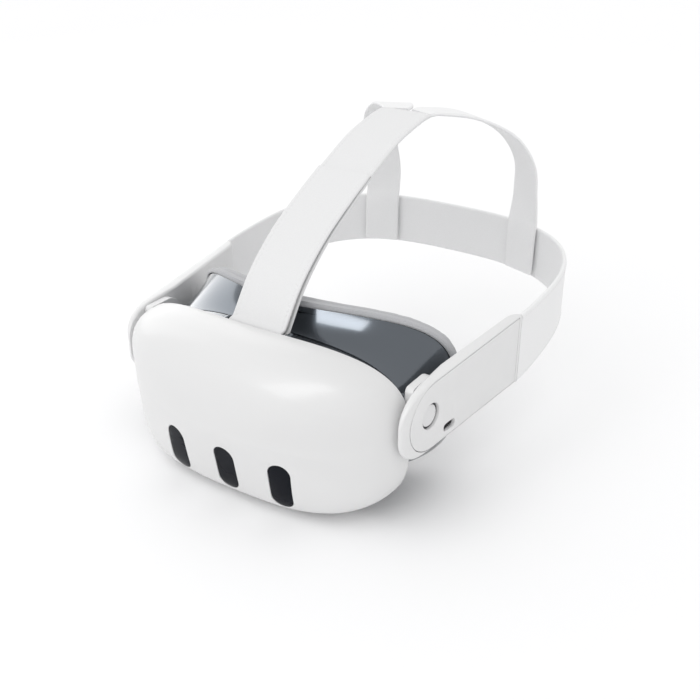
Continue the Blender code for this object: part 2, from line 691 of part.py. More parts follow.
def make_lens_unit(side, name):
    """One lens barrel with its ears, its rack, the lens and the display. The whole unit slides along X."""
    x = side * LENS_X
    centre = (x, BARREL_FRONT, CENTRE_Z)
    tube = cylinder((x, BARREL_FRONT, CENTRE_Z), (x, BARREL_REAR, CENTRE_Z), BARREL_RADIUS, 40)
    barrel = add("lens_barrel_" + name, tube, BLACK_PLASTIC, centre)
    for rail, z, _ in RAILS:
        towards = (z - CENTRE_Z) / abs(z - CENTRE_Z)
        low, high = sorted((CENTRE_Z + towards * (BARREL_RADIUS - 2 * MM), z + towards * 2.8 * MM))
        ear = box((x - 5 * MM, -9.4 * MM, low), (x + 5 * MM, -5.2 * MM, high))
        combine(barrel, add(f"ear_{rail}_{name}", ear), "UNION")
    above = side < 0
    pitch_z = WHEEL_Z + (PITCH_RADIUS if above else -PITCH_RADIUS)
    flip = 1 if above else -1
    start, end = -8.5 * MM, 20 * MM
    phase = math.pi * MODULE / 2
    outline = [(side * px, flip * py) for px, py in rack_outline(start, end, phase, 3.4 * MM)]
    rack = plate(outline, RACK_Y[1] - RACK_Y[0], facing_y(0, sum(RACK_Y) / 2, pitch_z))
    combine(barrel, add("rack_" + name, rack), "UNION")
    low, high = sorted((side * 16 * MM, side * 22 * MM))
    foot = pitch_z + (1.6 * MODULE if above else -3.1 * MM)
    web = box((low, RACK_Y[0] + 0.2 * MM, foot), (high, RACK_Y[1] - 0.2 * MM, 31 * MM))
    combine(barrel, add("rack_web_" + name, web), "UNION")
    start, end = ((x, y, CENTRE_Z) for y in (BARREL_FRONT - 2 * MM, BARREL_REAR + 2 * MM))
    bore = cylinder(start, end, LENS_RADIUS + 0.4 * MM, 40)
    combine(barrel, add("barrel_bore_" + name, bore))
    for rail, z, _ in RAILS:
        rail_bore = rod_x(x - 8 * MM, x + 8 * MM, RAIL_Y, z, RAIL_RADIUS + 0.4 * MM, 12)
        combine(barrel, add(f"ear_bore_{rail}_{name}", rail_bore))
    bm = bmesh.new()
    bmesh.ops.create_uvsphere(bm, u_segments=28, v_segments=8, radius=LENS_RADIUS)
    bmesh.ops.scale(bm, vec=(1, 1, 0.2), verts=bm.verts)
    bmesh.ops.rotate(bm, cent=(0, 0, 0), matrix=Matrix.Rotation(math.pi / 2, 3, "X"), verts=bm.verts)
    bmesh.ops.translate(bm, vec=(x, 0.3 * MM, CENTRE_Z), verts=bm.verts)
    lens = add("lens_" + name, bm, LENS_GLASS, (x, 0.3 * MM, CENTRE_Z))
    half = 15.5 * MM
    panel = box((x - half, -9.2 * MM, CENTRE_Z - half), (x + half, -7.4 * MM, CENTRE_Z + half))
    display = add("display_" + name, panel, BLACK_GLASS, (x, -8.3 * MM, CENTRE_Z))
    hang(joint_empty("lens_slide_" + name, centre), barrel, lens, display)


def make_rails():
    for name, z, reach in RAILS:
        rail = rod_x(-reach - 2 * MM, reach + 2 * MM, RAIL_Y, z, RAIL_RADIUS, 12)
        add("lens_rail_" + name, rail, STEEL)


# Buttons under the visor


def make_buttons():
    face, top = 1.9 * MM, 8.5 * MM
    middle = sum(BUTTON_Y) / 2
    power_low = (POWER_X - POWER_HALF, BUTTON_Y[0], face)
    power_high = (POWER_X + POWER_HALF, BUTTON_Y[1], top)
    power_button = add("power_button", box(power_low, power_high), WHITE_SATIN, (POWER_X, middle, top))
    bevel(power_button, 0.5 * MM, 1)
    hang(joint_empty("power_button_slide", (POWER_X, middle, top)), power_button)
    axis = (VOLUME_X, middle, 6 * MM)
    low = (VOLUME_X - VOLUME_HALF, BUTTON_Y[0], 3.4 * MM)
    high = (VOLUME_X + VOLUME_HALF, BUTTON_Y[1], 8 * MM)
    bm = box(low, high)
    slope = Matrix.Rotation(-VOLUME_SLOPE, 3, "Y")
    bmesh.ops.rotate(bm, cent=axis, matrix=slope, verts=bm.verts)
    rocker = add("volume_rocker", bm, WHITE_SATIN, axis)
    bevel(rocker, 0.5 * MM, 1)
    hang(joint_empty("volume_rocker_axis", axis), rocker)


# Facial interface and cushion


def face_y(x, y):
    return y + RIM_CURVE * x * x


def nose_lift(x, z, share=1.0):
    """How far the lower edge rises over the nose."""
    return share * NOSE_RISE * math.exp(-((x / NOSE_WIDTH) ** 2)) if z < 0 else 0.0


def face_ring(half_width, half_height, y):
    ring = []
    for x, z in rounded(half_width, half_height, count=FACE_POINTS):
        ring.append(Vector((x, face_y(x, y), RIM_Z + z + nose_lift(x, z))))
    return ring


def make_interface():
    rings = []
    start = HOUSING_REAR + 0.8 * MM
    steps = 5
    for i in range(steps + 1):
        share = i / steps
        half_width = (86 + 4 * share**2) * MM
        half_height = (41 + 10.2 * share**2.2) * MM
        centre_z = (49.2 + 3.5 * share) * MM
        ring = []
        for x, z in rounded(half_width, half_height, count=FACE_POINTS):
            y = start + (face_y(x, RIM_Y) - start) * share
            ring.append(Vector((x, y, centre_z + z + nose_lift(x, z, share**3))))
        rings.append(ring)
    rings.append(face_ring(*FLANGE_HALF, RIM_Y))
    interface = add("interface_frame", outward(loft(rings, caps=False)), DARK_SATIN)
    solidify(interface, FLANGE_WALL)


def make_cushion():
    rings = (
        face_ring(89.6 * MM, 50.9 * MM, RIM_Y + 3 * GAP),
        face_ring(90.6 * MM, 52 * MM, RIM_Y + 5.5 * MM),
        face_ring(88.5 * MM, 50 * MM, RIM_Y + 10.5 * MM),
        face_ring(82 * MM, 46 * MM, RIM_Y + 12 * MM),
        face_ring(75 * MM, 40.5 * MM, RIM_Y + 11 * MM),
        face_ring(71 * MM, 37.5 * MM, RIM_Y + 7 * MM),
        face_ring(70.5 * MM, 37.2 * MM, RIM_Y + 3 * GAP),
    )
    add("face_cushion", loft(rings, closed=True), FOAM)


def make_nose_flap():
    """A rubber light seal on the front of the flange, standing above its edge over the nose."""
    front = RIM_Y - FLANGE_WALL - 4 * GAP - FLAP_THICK
    rings = []
    for y in (front, front + FLAP_THICK):
        upper, lower = [], []
        for i in range(-7, 8):
            share = i / 7
            x = share * 30 * MM
            fall = 1 - abs(x / FLANGE_HALF[0]) ** CORNER
            edge = RIM_Z - FLANGE_HALF[1] * fall ** (1 / CORNER) + nose_lift(x, -1)
            upper.append(Vector((x, face_y(x, y), edge + (2 + 6 * (1 - share**2)) * MM)))
            lower.append(Vector((x, face_y(x, y), edge - 3 * MM)))
        rings.append(upper + lower[::-1])
    add("nose_flap", loft(rings), RUBBER)


# Strap arms


def arm_outer(y):
    return 97.55 * MM + 0.111 * y


def arm_inner(y):
    return ARM_INNER + 0.125 * max(0, y - 34 * MM)


def arm_top(y):
    return 83.3 * MM + 0.066 * y


def arm_bottom(y):
    return 42.3 * MM + 0.035 * y


def arm_section(y, inner, outer, height, chamfer):
    """Eight points round the arm at this y. height is the share of the full height that is left."""
    middle = (arm_top(y) + arm_bottom(y)) / 2
    half = (arm_top(y) - arm_bottom(y)) / 2 * height
    c = min(chamfer, half / 2, (outer - inner) / 3)
    corners = (
        (inner + c, -half),
        (outer - c, -half),
        (outer, c - half),
        (outer, half - c),
        (outer - c, half),
        (inner + c, half),
        (inner, half - c),
        (inner, c - half),
    )
    return [Vector((x, y, middle + z)) for x, z in corners]


def front_share(y, reach, exponent):
    """The share of the arm's height at a point in its rounded front end."""
    if y >= ARM_FULL:
        return 1.0
    return (1 - ((ARM_FULL - y) / reach) ** exponent) ** (1 / exponent)


def mirrored(rings, side):
    return [[Vector((side * point.x, point.y, point.z)) for point in ring] for ring in rings]


def cover_rings(side, grow=0.0):
    rings = []
    reach = 20 * MM + grow
    for y in (-2.6, -1.4, 1, 5, 10, 17, 34, 60, 85, 101.5):
        y = y * MM
        if y < 0:
            y -= grow
        if y > 100 * MM:
            y += grow
        share = front_share(y, reach, 2.0) * (1 - (1.2 * MM - grow) / (20.5 * MM))
        outer = arm_outer(y) + (3 * MM if grow else 0)
        rings.append(arm_section(y, arm_outer(y) - COVER_THICK - grow, outer, share, 0.2 * MM))
    return mirrored(rings, side)


def make_arm(side, name):
    rings = []
    for y, thick in ARM_STATIONS:
        y = y * MM
        inner, outer = arm_inner(y), arm_outer(y)
        if y < 50 * MM:
            outer = inner + (outer - inner) * thick
        else:
            inner = outer - (outer - inner) * thick
        share = front_share(y, ARM_FULL - ARM_FRONT, 2.8)
        rings.append(arm_section(y, inner, outer, share, 1.2 * MM))
    body = add("arm_body_" + name, loft(mirrored(rings, side)), WHITE_SATIN)
    combine(body, add("cover_pocket_" + name, loft(cover_rings(side, GAP))))
    bore = rod_x(side * 90 * MM, side * 97 * MM, PIVOT_Y, PIVOT_Z, PIN_RADIUS + GAP)
    combine(body, add("arm_bore_" + name, bore))
    make_speaker(body, side, name)
    make_port(body, side, name)
    make_cover(side, name)


def make_speaker(body, side, name):
    half = 9.5 * MM
    y0, y1 = SPEAKER_Y - half, SPEAKER_Y + half
    back = arm_inner(y1) + MM
    front = arm_outer(y0) - COVER_THICK - 2 * GAP
    low, high = on_side(side, back, 110 * MM)
    pocket = box((low, y0, SPEAKER_Z - half), (high, y1, SPEAKER_Z + half))
    combine(body, add("speaker_pocket_" + name, pocket))
    low, high = on_side(side, back + GAP, front)
    bm = box((low, y0 + GAP, SPEAKER_Z - half + GAP), (high, y1 - GAP, SPEAKER_Z + half - GAP))
    add("speaker_" + name, bm, BLACK_PLASTIC)
    for i in range(3):
        y = SPEAKER_Y + (i - 1) * 4.5 * MM
        low, high = on_side(side, 90 * MM, back + MM)
        slot = box((low, y - 0.8 * MM, SPEAKER_Z - 6 * MM), (high, y + 0.8 * MM, SPEAKER_Z + 6 * MM))
        combine(body, add(f"speaker_slot_{i}_{name}", slot))


def port_box(low, high, half_y, half_z):
    """A box about the port's middle, from one X to another."""
    return box((low, PORT_Y - half_y, PORT_Z - half_z), (high, PORT_Y + half_y, PORT_Z + half_z))


def make_port(body, side, name):
    """The charging port in the wearer's left arm and the audio jack in the right one."""
    inner, outer = arm_inner(PORT_Y) + 1.5 * MM, arm_outer(PORT_Y)
    if side > 0:
        half_y, half_z = 4.9 * MM, 1.9 * MM
        low, high = on_side(side, inner, 110 * MM)
        grow = 2 * GAP
        room = port_box(low, high, half_y + grow, half_z + grow)
        combine(body, add("port_room", room))
        shell = port_box(inner + GAP, outer - 1.1 * MM, half_y, half_z)
        port = add("usb_port", shell, STEEL)
        bevel(port, 0.8 * MM, 2)
        mouth = port_box(inner + 2 * MM, outer + 3 * MM, half_y - 0.7 * MM, half_z - 0.7 * MM)
        combine(port, add("port_mouth", mouth))
        return
    combine(body, add("jack_room", rod_x(side * inner, side * 110 * MM, PORT_Y, PORT_Z, 3.6 * MM)))
    sleeve = rod_x(side * (inner + GAP), side * (outer - 1.1 * MM), PORT_Y, PORT_Z, 3 * MM)
    jack = add("audio_jack", sleeve, STEEL)
    mouth = rod_x(side * (inner + 2 * MM), side * (outer + 3 * MM), PORT_Y, PORT_Z, 1.8 * MM, 16)
    combine(jack, add("jack_mouth", mouth))


def make_cover(side, name):
    cover = add("arm_cover_" + name, loft(cover_rings(side)), WHITE_SATIN)
    cap_hole = rod_x(side * 90 * MM, side * 110 * MM, PIVOT_Y, PIVOT_Z, 7.6 * MM, 32)
    combine(cover, add("cap_hole_" + name, cap_hole))
    if side > 0:
        place = Matrix.Translation((100 * MM, PORT_Y, PORT_Z)) @ Matrix.Rotation(math.pi / 2, 4, "Y")
        opening = plate(stadium(5 * MM, 11 * MM), 30 * MM, place)
    else:
        opening = rod_x(-90 * MM, -110 * MM, PORT_Y, PORT_Z, 3.6 * MM)
    combine(cover, add("port_opening_" + name, opening))
    centre = Vector((side * (arm_outer(PIVOT_Y) - COVER_THICK / 2 - 0.3 * MM), PIVOT_Y, PIVOT_Z))
    normal = Vector((side, -0.111, 0)).normalized()
    half = normal * 0.65 * MM
    cap = add("pivot_cap_" + name, cylinder(centre - half, centre + half, 7.1 * MM, 32), WHITE_SATIN)
    dish = cylinder(centre + normal * 0.2 * MM, centre + normal * 3 * MM, 5.4 * MM, 32)
    combine(cap, add("cap_dish_" + name, dish))


# Rear band and top strap


def band_bottom(y):
    return 45.6 * MM + 0.14 * (y - BAND_START)


def band_path(count=20):
    """Points of the band's centre line, from one arm round the back to the other."""
    points = [
        Vector((BAND_HALF_WIDTH - 1.2 * MM, BAND_START, 0)),
        Vector((BAND_HALF_WIDTH - 0.3 * MM, 117 * MM, 0)),
    ]
    for i in range(count + 1):
        turn = math.pi * i / count
        x = BAND_HALF_WIDTH * power(math.cos(turn), 2 / BAND_CORNER)
        points.append(Vector((x, BAND_CENTRE_Y + BAND_DEPTH * math.sin(turn) ** (2 / BAND_CORNER), 0)))
    return points + [Vector((-point.x, point.y, 0)) for point in points[1::-1]]


def make_band():
    path = band_path()
    rings = []
    for i, point in enumerate(path):
        along = (path[min(i + 1, len(path) - 1)] - path[max(i - 1, 0)]).normalized()
        out = Vector((along.y, -along.x, 0)) * BAND_THICK / 2
        top, bottom = Vector((0, 0, arm_top(point.y))), Vector((0, 0, band_bottom(point.y)))
        rings.append([point + out + bottom, point + out + top, point - out + top, point - out + bottom])
    add("rear_band", loft(rings), WEBBING)


def scaled(points, side=1):
    return [Vector((side * x * MM, y * MM, z * MM)) for x, y, z in points]


def make_strap():
    width = Vector((1, 0, 0))
    path = smooth_path(scaled(STRAP_LINE), 3)
    top_strap = ribbon(path, [width] * len(path), STRAP_HALF_WIDTH, 2 * STRAP_THICK)
    add("top_strap_front", top_strap, WEBBING)
    path = smooth_path(scaled(CROWN_LINE), 3)
    add("top_strap_crown", ribbon(path, [width] * len(path), STRAP_HALF_WIDTH, STRAP_THICK), WEBBING)
    for side, name in ((1, "left"), (-1, "right")):
        path = smooth_path(scaled(LEG_LINE, side), 2)
        across = []
        for i, point in enumerate(path):
            share = i / (len(path) - 1)
            slant = 0.5 * math.sin(math.pi * min(1, 1.25 * share)) + 0.36 * share
            across.append(Vector((side, -slant, 0)).normalized())
        add("strap_leg_" + name, leg_ribbon(path, across, LEG_HALF_WIDTH), WEBBING)


def leg_ribbon(path, across, half_width):
    """A strap leg that starts as half of the top strap's width and widens to its own."""
    rings = []
    for i, point in enumerate(path):
        along = (path[min(i + 1, len(path) - 1)] - path[max(i - 1, 0)]).normalized()
        if i == 0:
            along = Vector((0, 1, 0))
        share = min(1, i / 4)
        half = (STRAP_HALF_WIDTH / 2 - GAP) * (1 - share) + half_width * share
        reach = (across[i] - along * across[i].dot(along)).normalized() * half
        out = along.cross(reach).normalized() * STRAP_THICK / 2
        rings.append([point + reach + out, point - reach + out, point - reach - out, point + reach - out])
    return loft(rings)


def make_head_strap():
    pivot = joint_empty("strap_tilt_axis", (0, PIVOT_Y, PIVOT_Z))
    for side, name in ((1, "left"), (-1, "right")):
        make_arm(side, name)
    make_band()
    make_strap()
    moving = ["rear_band", "top_strap_crown", "usb_port", "audio_jack"]
    for name in ("left", "right"):
        pieces = ("arm_body_", "arm_cover_", "pivot_cap_", "speaker_", "strap_leg_")
        moving += [piece + name for piece in pieces]
    hang(pivot, *[bpy.data.objects[name] for name in moving])


make_front_shell()
make_windows()
make_cameras()
make_chassis()
make_screws()
make_electronics()
make_rear_housing()
for mount_side, mount_name in ((1, "left"), (-1, "right")):
    make_hinge_mount(mount_side, mount_name)
    make_lens_unit(mount_side, mount_name)
make_rails()
make_wheel()
make_buttons()
make_interface()
make_cushion()
make_nose_flap()
make_head_strap()
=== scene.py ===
import json
import math

import bmesh
import bpy
from mathutils import Matrix, Quaternion, Vector


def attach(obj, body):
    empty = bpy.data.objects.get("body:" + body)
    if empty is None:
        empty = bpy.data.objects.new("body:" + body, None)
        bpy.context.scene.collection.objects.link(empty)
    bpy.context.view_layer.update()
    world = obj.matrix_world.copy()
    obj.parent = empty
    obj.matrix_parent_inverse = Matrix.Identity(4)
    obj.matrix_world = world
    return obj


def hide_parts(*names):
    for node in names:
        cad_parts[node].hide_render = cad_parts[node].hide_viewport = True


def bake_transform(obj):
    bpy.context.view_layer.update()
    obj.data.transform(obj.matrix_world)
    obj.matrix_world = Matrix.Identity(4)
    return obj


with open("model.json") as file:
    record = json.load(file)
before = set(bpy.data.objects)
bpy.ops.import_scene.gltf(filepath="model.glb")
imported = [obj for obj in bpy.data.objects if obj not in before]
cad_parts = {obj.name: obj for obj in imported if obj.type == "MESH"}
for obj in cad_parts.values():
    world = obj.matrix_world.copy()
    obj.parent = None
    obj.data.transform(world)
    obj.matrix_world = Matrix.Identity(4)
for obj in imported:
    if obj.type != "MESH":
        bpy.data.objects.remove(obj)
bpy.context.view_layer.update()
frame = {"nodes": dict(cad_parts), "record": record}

MM = 0.001
GAP = 0.3 * MM
NODES = frame["nodes"]
SIDES = ((1, "left"), (-1, "right"))

# Visor, as in the CAD, except that the top of the rim stands 2 mm higher
HALF_WIDTH, HALF_HEIGHT, CENTRE_Z, CORNER = 92.5 * MM, 49.3 * MM, 51 * MM, 3.3
FRONT_Y, EDGE_Y, EDGE_CURVE = -40.4 * MM, -7.9 * MM, 1.5
CHIN_START, CHIN_LENGTH, CHIN_DEPTH = 2 * MM, 41 * MM, 15.6 * MM
SHELL_WALL = 2.2 * MM
WINDOW_WIDTH, WINDOW_LENGTH, WINDOW_THICK = 13.4 * MM, 30 * MM, 1.6 * MM
WINDOW_TILT, WINDOW_Z = math.radians(12), 24.3 * MM
WINDOWS = (  # name, x, y, degrees turned outwards
    ("right", -36 * MM, -33.7 * MM, -5),
    ("centre", 0.0, -36.2 * MM, 0),
    ("left", 36 * MM, -33.7 * MM, 5),
)
VENT_COUNT, VENT_START, VENT_PITCH = 4, -52, 6  # start and pitch in mm
BUTTON_Y = (-18 * MM, -13 * MM)
POWER_X, POWER_HALF = 24 * MM, 5 * MM
VOLUME_X, VOLUME_HALF, VOLUME_SLOPE = 46 * MM, 8 * MM, math.radians(6)
LENS_X, LENS_RADIUS, LENS_BULGE = 32.3 * MM, 22 * MM, 4.35 * MM
BEZEL_PROFILE = (  # radius and y, in mm
    (22.35, 1.2), (22.35, 2.3), (22.6, 2.75), (23.2, 2.9),
    (23.9, 2.8), (24.4, 2.5), (24.7, 1.9), (24.7, 1.2),
)
WHEEL_Y = (2 * MM, 5.6 * MM)
BULKHEAD_Y = (6.5 * MM, 8.5 * MM)
HOUSING_REAR = 12.8 * MM
LUG_X, BOSS_X = (19.6 * MM, 22.6 * MM), (83 * MM, 87.9 * MM)
HOUSING_RINGS = (  # half width, half height, centre z, y, sweep
    (86.6, 44.8, 51, -12.5, EDGE_CURVE),
    (87.2, 44.8, 51, -7, EDGE_CURVE),
    (86.6, 41.6, 49.7, 0, 0.8),
    (86.2, 41, 49.3, 6, 0.3),
    (86, 41, 49.2, 12.8, 0),
)
RIM_Y, RIM_CURVE, RIM_Z = 21.5 * MM, 4.8, 53.7 * MM
RIM_HALF = (90 * MM, 52.2 * MM)
INTERFACE_START = HOUSING_REAR + 0.8 * MM
NOSE_RISE, NOSE_WIDTH = 24 * MM, 17 * MM
FLANGE_HALF = (70 * MM, 37 * MM)

# Head strap, close to the CAD
PIVOT_Y, PIVOT_Z = 15 * MM, 64.5 * MM
PIN_RADIUS = 4 * MM
ARM_INNER = 93.2 * MM
ARM_FRONT, ARM_FULL = -9 * MM, 17 * MM
COVER_THICK = 1.9 * MM
ARM_SPLAY = 0.111
INSIDE_X, OUTSIDE_X = 90 * MM, 110 * MM  # cutters run between these, past both faces of an arm
CAP_HOLE, CAP_DEPTH = 7.6 * MM, 1.45 * MM
CAP_PROFILE = (  # radius and height, in mm
    (0.05, -0.05), (3.5, 0.0), (5.0, 0.12), (5.7, 0.3),
    (6.0, 0.3), (6.25, 0.05), (6.25, -0.6), (0.05, -0.6),
)
# A black ring at the bottom of the gap round the pivot disc, as painted shadow in that gap: radius and
# height, in mm
GAP_SHADOW_RING_PROFILE = ((6.35, -0.5), (7.45, -0.5), (7.45, -0.3), (6.35, -0.4))
MOUNT_CORNERS = (  # y and z of the middle of each corner and its radius, from the top rear one forwards
    (21.5 * MM, 72.8 * MM, 10 * MM),
    (8.6 * MM, 79.8 * MM, 3 * MM),
    (8.6 * MM, 49 * MM, 3 * MM),
    (21.5 * MM, 56 * MM, 10 * MM),
)
SPEAKER_Y, SPEAKER_Z = 58 * MM, 64 * MM
PORT_Y, PORT_Z, PORT_RADIUS = 33 * MM, 50.5 * MM, 3.6 * MM
BAND_THICK, BAND_START, BAND_CENTRE_Y = 2.6 * MM, 104.4 * MM, 130 * MM
BAND_HALF_WIDTH, BAND_DEPTH, BAND_CORNER = 109.2 * MM, 101.7 * MM, 2.8
STRAP_HALF_WIDTH, STRAP_THICK, LEG_HALF_WIDTH = 18 * MM, 2 * MM, 12.3 * MM
STITCH_LENGTH, STITCH_PITCH, STITCH_RADIUS = 2.0 * MM, 3.0 * MM, 0.28 * MM
STITCH_RINGS = (  # share of the length, share of the radius, rise in radii
    (-0.5, 0.2, -0.6), (-0.35, 0.85, 0.1), (0, 1, 0.35),
    (0.35, 0.85, 0.1), (0.5, 0.2, -0.6),
)
SEAM_INSET, BAND_SEAM_INSET = 2.4 * MM, 2.6 * MM
STRAP_LINE = ((0, 0, 98.6), (0, 16.5, 119.5), (0, 39, 137.5), (0, 66, 152.4), (0, 84.4, 161.2))
CROWN_LINE = ((0, 84.8, 161.4), (0, 115, 174), (0, 142, 180.2), (0, 156, 181.6))
LEG_LINE = (
    (9.2, 156.6, 181.7),
    (13, 166, 181.5),
    (29, 185, 177),
    (47, 204, 164),
    (56, 216, 144),
    (56, 222.4, 121),
    (56, 222.6, 106),
    (56, 221.1, 92),
    (56, 221, 64.6),
)


# Materials


def socket(shader, name, value):
    shader.inputs[name].default_value = value


class Surface:
    """A Principled material with procedural colour variation, roughness variation and bump."""

    def __init__(self, name, colour, roughness, **sockets):
        self.material = bpy.data.materials.new(name)
        self.material.use_nodes = True
        self.tree = self.material.node_tree
        self.shader = self.tree.nodes["Principled BSDF"]
        self.colour = (*colour, 1)
        self.place = self.node("ShaderNodeTexCoord").outputs["Object"]
        self.height = None
        socket(self.shader, "Base Color", self.colour)
        socket(self.shader, "Roughness", roughness)
        for key, value in sockets.items():
            socket(self.shader, key.replace("_", " "), value)
        self.material.diffuse_color = self.colour

    def node(self, kind, **inputs):
        made = self.tree.nodes.new(kind)
        for key, value in inputs.items():
            self.put(made.inputs[key], value)
        return made

    def put(self, into, value):
        if isinstance(value, bpy.types.NodeSocket):
            self.tree.links.new(value, into)
        else:
            into.default_value = value

    def stretched(self, scale):
        return self.node("ShaderNodeMapping", Vector=self.place, Scale=scale).outputs[0]

    def noise(self, scale, detail=2.0, vector=None, roughness=0.5):
        made = self.node("ShaderNodeTexNoise", Vector=vector or self.place, Scale=scale, Detail=detail)
        socket(made, "Roughness", roughness)
        return made.outputs["Fac"]

    def spots(self, scale, feature="F1", randomness=1.0, vector=None):
        made = self.node("ShaderNodeTexVoronoi", Vector=vector or self.place, Scale=scale)
        socket(made, "Randomness", randomness)
        made.feature = feature
        return made.outputs["Distance"]

    def span(self, value, low, high, to_low, to_high):
        made = self.node("ShaderNodeMapRange", Value=value)
        for key, number in zip(("From Min", "From Max", "To Min", "To Max"), (low, high, to_low, to_high)):
            socket(made, key, number)
        return made.outputs["Result"]

    def vary_roughness(self, value, low, high):
        self.put(self.shader.inputs["Roughness"], self.span(value, 0.3, 0.7, low, high))
        return self

    def vary_colour(self, value, other, low=0.3, high=0.7):
        mix = self.node("ShaderNodeMix")
        mix.data_type = "RGBA"
        self.put(mix.inputs["Factor"], self.span(value, low, high, 0, 1))
        mix.inputs[6].default_value = self.colour
        mix.inputs[7].default_value = (*other, 1)
        self.put(self.shader.inputs["Base Color"], mix.outputs[2])
        return self

    def bump(self, height, strength, distance):
        made = self.node("ShaderNodeBump", Height=height, Strength=strength, Distance=distance)
        if self.height is not None:
            self.put(made.inputs["Normal"], self.height)
        self.height = made.outputs[0]
        self.put(self.shader.inputs["Normal"], self.height)
        return self


def moulded(name, colour, other, rough, tint, grain, relief=None, bump=None, ends=(0.3, 0.7), **sockets):
    """A solid material: two colours, roughness (mean, low, high), a noise each for colour, roughness and
    bump, the bump's strength and mm, and where in the noise the colours change over."""
    s = Surface(name, colour, rough[0], **sockets)
    s.vary_colour(s.noise(*tint), other, *ends)
    s.vary_roughness(s.noise(*grain), *rough[1:])
    if relief:
        s.bump(s.noise(*relief), bump[0], bump[1] * MM)
    return s.material


def satin_white(name="satin_white", colour=(0.745, 0.745, 0.747)):
    other = tuple(0.965 * c for c in colour)
    return moulded(name, colour, other, (0.42, 0.38, 0.5), (30, 3), (90, 4), (3600, 2), (0.18, 0.06))


def knit_fabric():
    """Short-pile knit over foam: fine loops, a soft heather and a slight sheen."""
    s = Surface("foam_fabric", (0.41, 0.415, 0.43), 0.95, Sheen_Weight=0.4, Sheen_Roughness=0.5)
    s.vary_colour(s.noise(1300, 3), (0.46, 0.465, 0.48))
    s.bump(s.spots(1500, vector=s.stretched((1, 1, 0.7))), 0.5, 0.35 * MM)
    return s.bump(s.noise(240, 2), 0.2, 0.3 * MM).material


def webbing(name, across, colour):
    """Elastic webbing with a fine plain weave, which is stretched by the scales in across."""
    s = Surface(name, colour, 0.85, Sheen_Weight=0.3, Sheen_Roughness=0.4)
    s.vary_colour(s.noise(1500, 2), tuple(0.97 * c for c in colour))
    s.bump(s.spots(1100, randomness=0.25, vector=s.stretched(across)), 0.3, 0.12 * MM)
    return s.bump(s.noise(60, 1), 0.05, 0.3 * MM).material


def thread():
    s = Surface("thread", (0.80, 0.80, 0.805), 0.7, Sheen_Weight=0.4)
    s.vary_colour(s.noise(2500, 2), (0.75, 0.75, 0.755))
    return s.bump(s.noise(5200, 2), 0.3, 0.05 * MM).material


def steel():
    s = Surface("steel", (0.56, 0.56, 0.57), 0.28, Metallic=1.0)
    brushed = s.noise(900, 3, s.stretched((1, 0.05, 1)))
    s.vary_colour(brushed, (0.48, 0.48, 0.49))
    s.vary_roughness(brushed, 0.22, 0.38)
    return s.bump(brushed, 0.1, 0.03 * MM).material


def circuit_board():
    s = Surface("circuit_board", (0.012, 0.10, 0.045), 0.35, Coat_Weight=0.3)
    tracks = s.spots(420, "DISTANCE_TO_EDGE", 0.4)
    s.vary_colour(tracks, (0.03, 0.19, 0.08), 0.02, 0.06)
    s.vary_roughness(s.noise(300, 2), 0.3, 0.45)
    return s.bump(tracks, 0.3, 0.05 * MM).material


GLOSS = moulded(
    "gloss_white", (0.715, 0.715, 0.715), (0.703, 0.703, 0.705), (0.38, 0.33, 0.4),
    (7, 1), (11, 1), (6000, 1), (0.04, 0.02), (0.2, 0.8),
    Specular_IOR_Level=0.35,
    Coat_Weight=0.12,
    Coat_Roughness=0.12,
)
SATIN = satin_white()
SATIN_INNER = satin_white("satin_white_inner", (0.72, 0.72, 0.725))
DARK = moulded(
    "dark_satin", (0.092, 0.106, 0.124), (0.085, 0.098, 0.115), (0.22, 0.17, 0.24),
    (12, 1), (25, 1), (5200, 1), (0.04, 0.02), (0.2, 0.8),
    Metallic=0.85,
    Coat_Weight=1.0,
    Coat_Roughness=0.1,
)
GLASS = moulded(
    "black_glass", (0.006, 0.007, 0.010), (0.008, 0.009, 0.013), (0.08, 0.04, 0.09),
    (50,), (150, 3),
    Specular_IOR_Level=0.07,
)
FOAM = knit_fabric()
BLACK = moulded(
    "moulded_black", (0.022, 0.022, 0.026), (0.03, 0.03, 0.034), (0.5, 0.42, 0.6),
    (80, 3), (220, 3), (3800, 2), (0.2, 0.05),
)
STEEL = steel()
CAST = moulded(
    "cast_metal", (0.6, 0.61, 0.63), (0.5, 0.51, 0.53), (0.42, 0.36, 0.55),
    (300, 4), (500, 3), (1600, 3), (0.25, 0.08),
    Metallic=1.0,
)
BOARD = circuit_board()
WRAP = moulded(
    "cell_wrap", (0.10, 0.11, 0.13), (0.13, 0.14, 0.165), (0.4, 0.3, 0.5),
    (70, 4), (200, 3), (140, 4), (0.3, 0.2),
)
RUBBER = moulded(
    "rubber", (0.045, 0.045, 0.05), (0.06, 0.06, 0.066), (0.75, 0.65, 0.85),
    (260, 4), (300, 3), (2400, 2), (0.25, 0.06),
)
LENS = moulded(
    "lens_glass", (0.80, 0.86, 0.95), (0.84, 0.83, 0.95), (0.02, 0.015, 0.04),
    (18,), (120, 3),
    IOR=1.52,
    Transmission_Weight=0.85,
)
THREAD = thread()
WEB_BAND = webbing("webbing_band", (1, 1, 0.45), (0.825, 0.826, 0.83))
WEB_STRAP = webbing("webbing_strap", (0.45, 1, 1), (0.74, 0.741, 0.745))
WEB_LEGS = webbing("webbing_legs", (0.45, 1, 1), (0.825, 0.826, 0.83))
BY_SLOT = {
    "visor_shell": GLOSS,
    "window_glass": GLASS,
    "dark_housing": DARK,
    "face_foam": FOAM,
    "white_plastic": SATIN,
    "strap_fabric": WEB_BAND,
    "black_plastic": BLACK,
    "metal_frame": CAST,
    "steel": STEEL,
    "circuit_board": BOARD,
    "cell_wrap": WRAP,
    "lens_glass": LENS,
    "seal_rubber": RUBBER,
}


# Objects


def add_to_scene(name, data):
    obj = bpy.data.objects.new(name, data)
    bpy.context.scene.collection.objects.link(obj)
    return obj


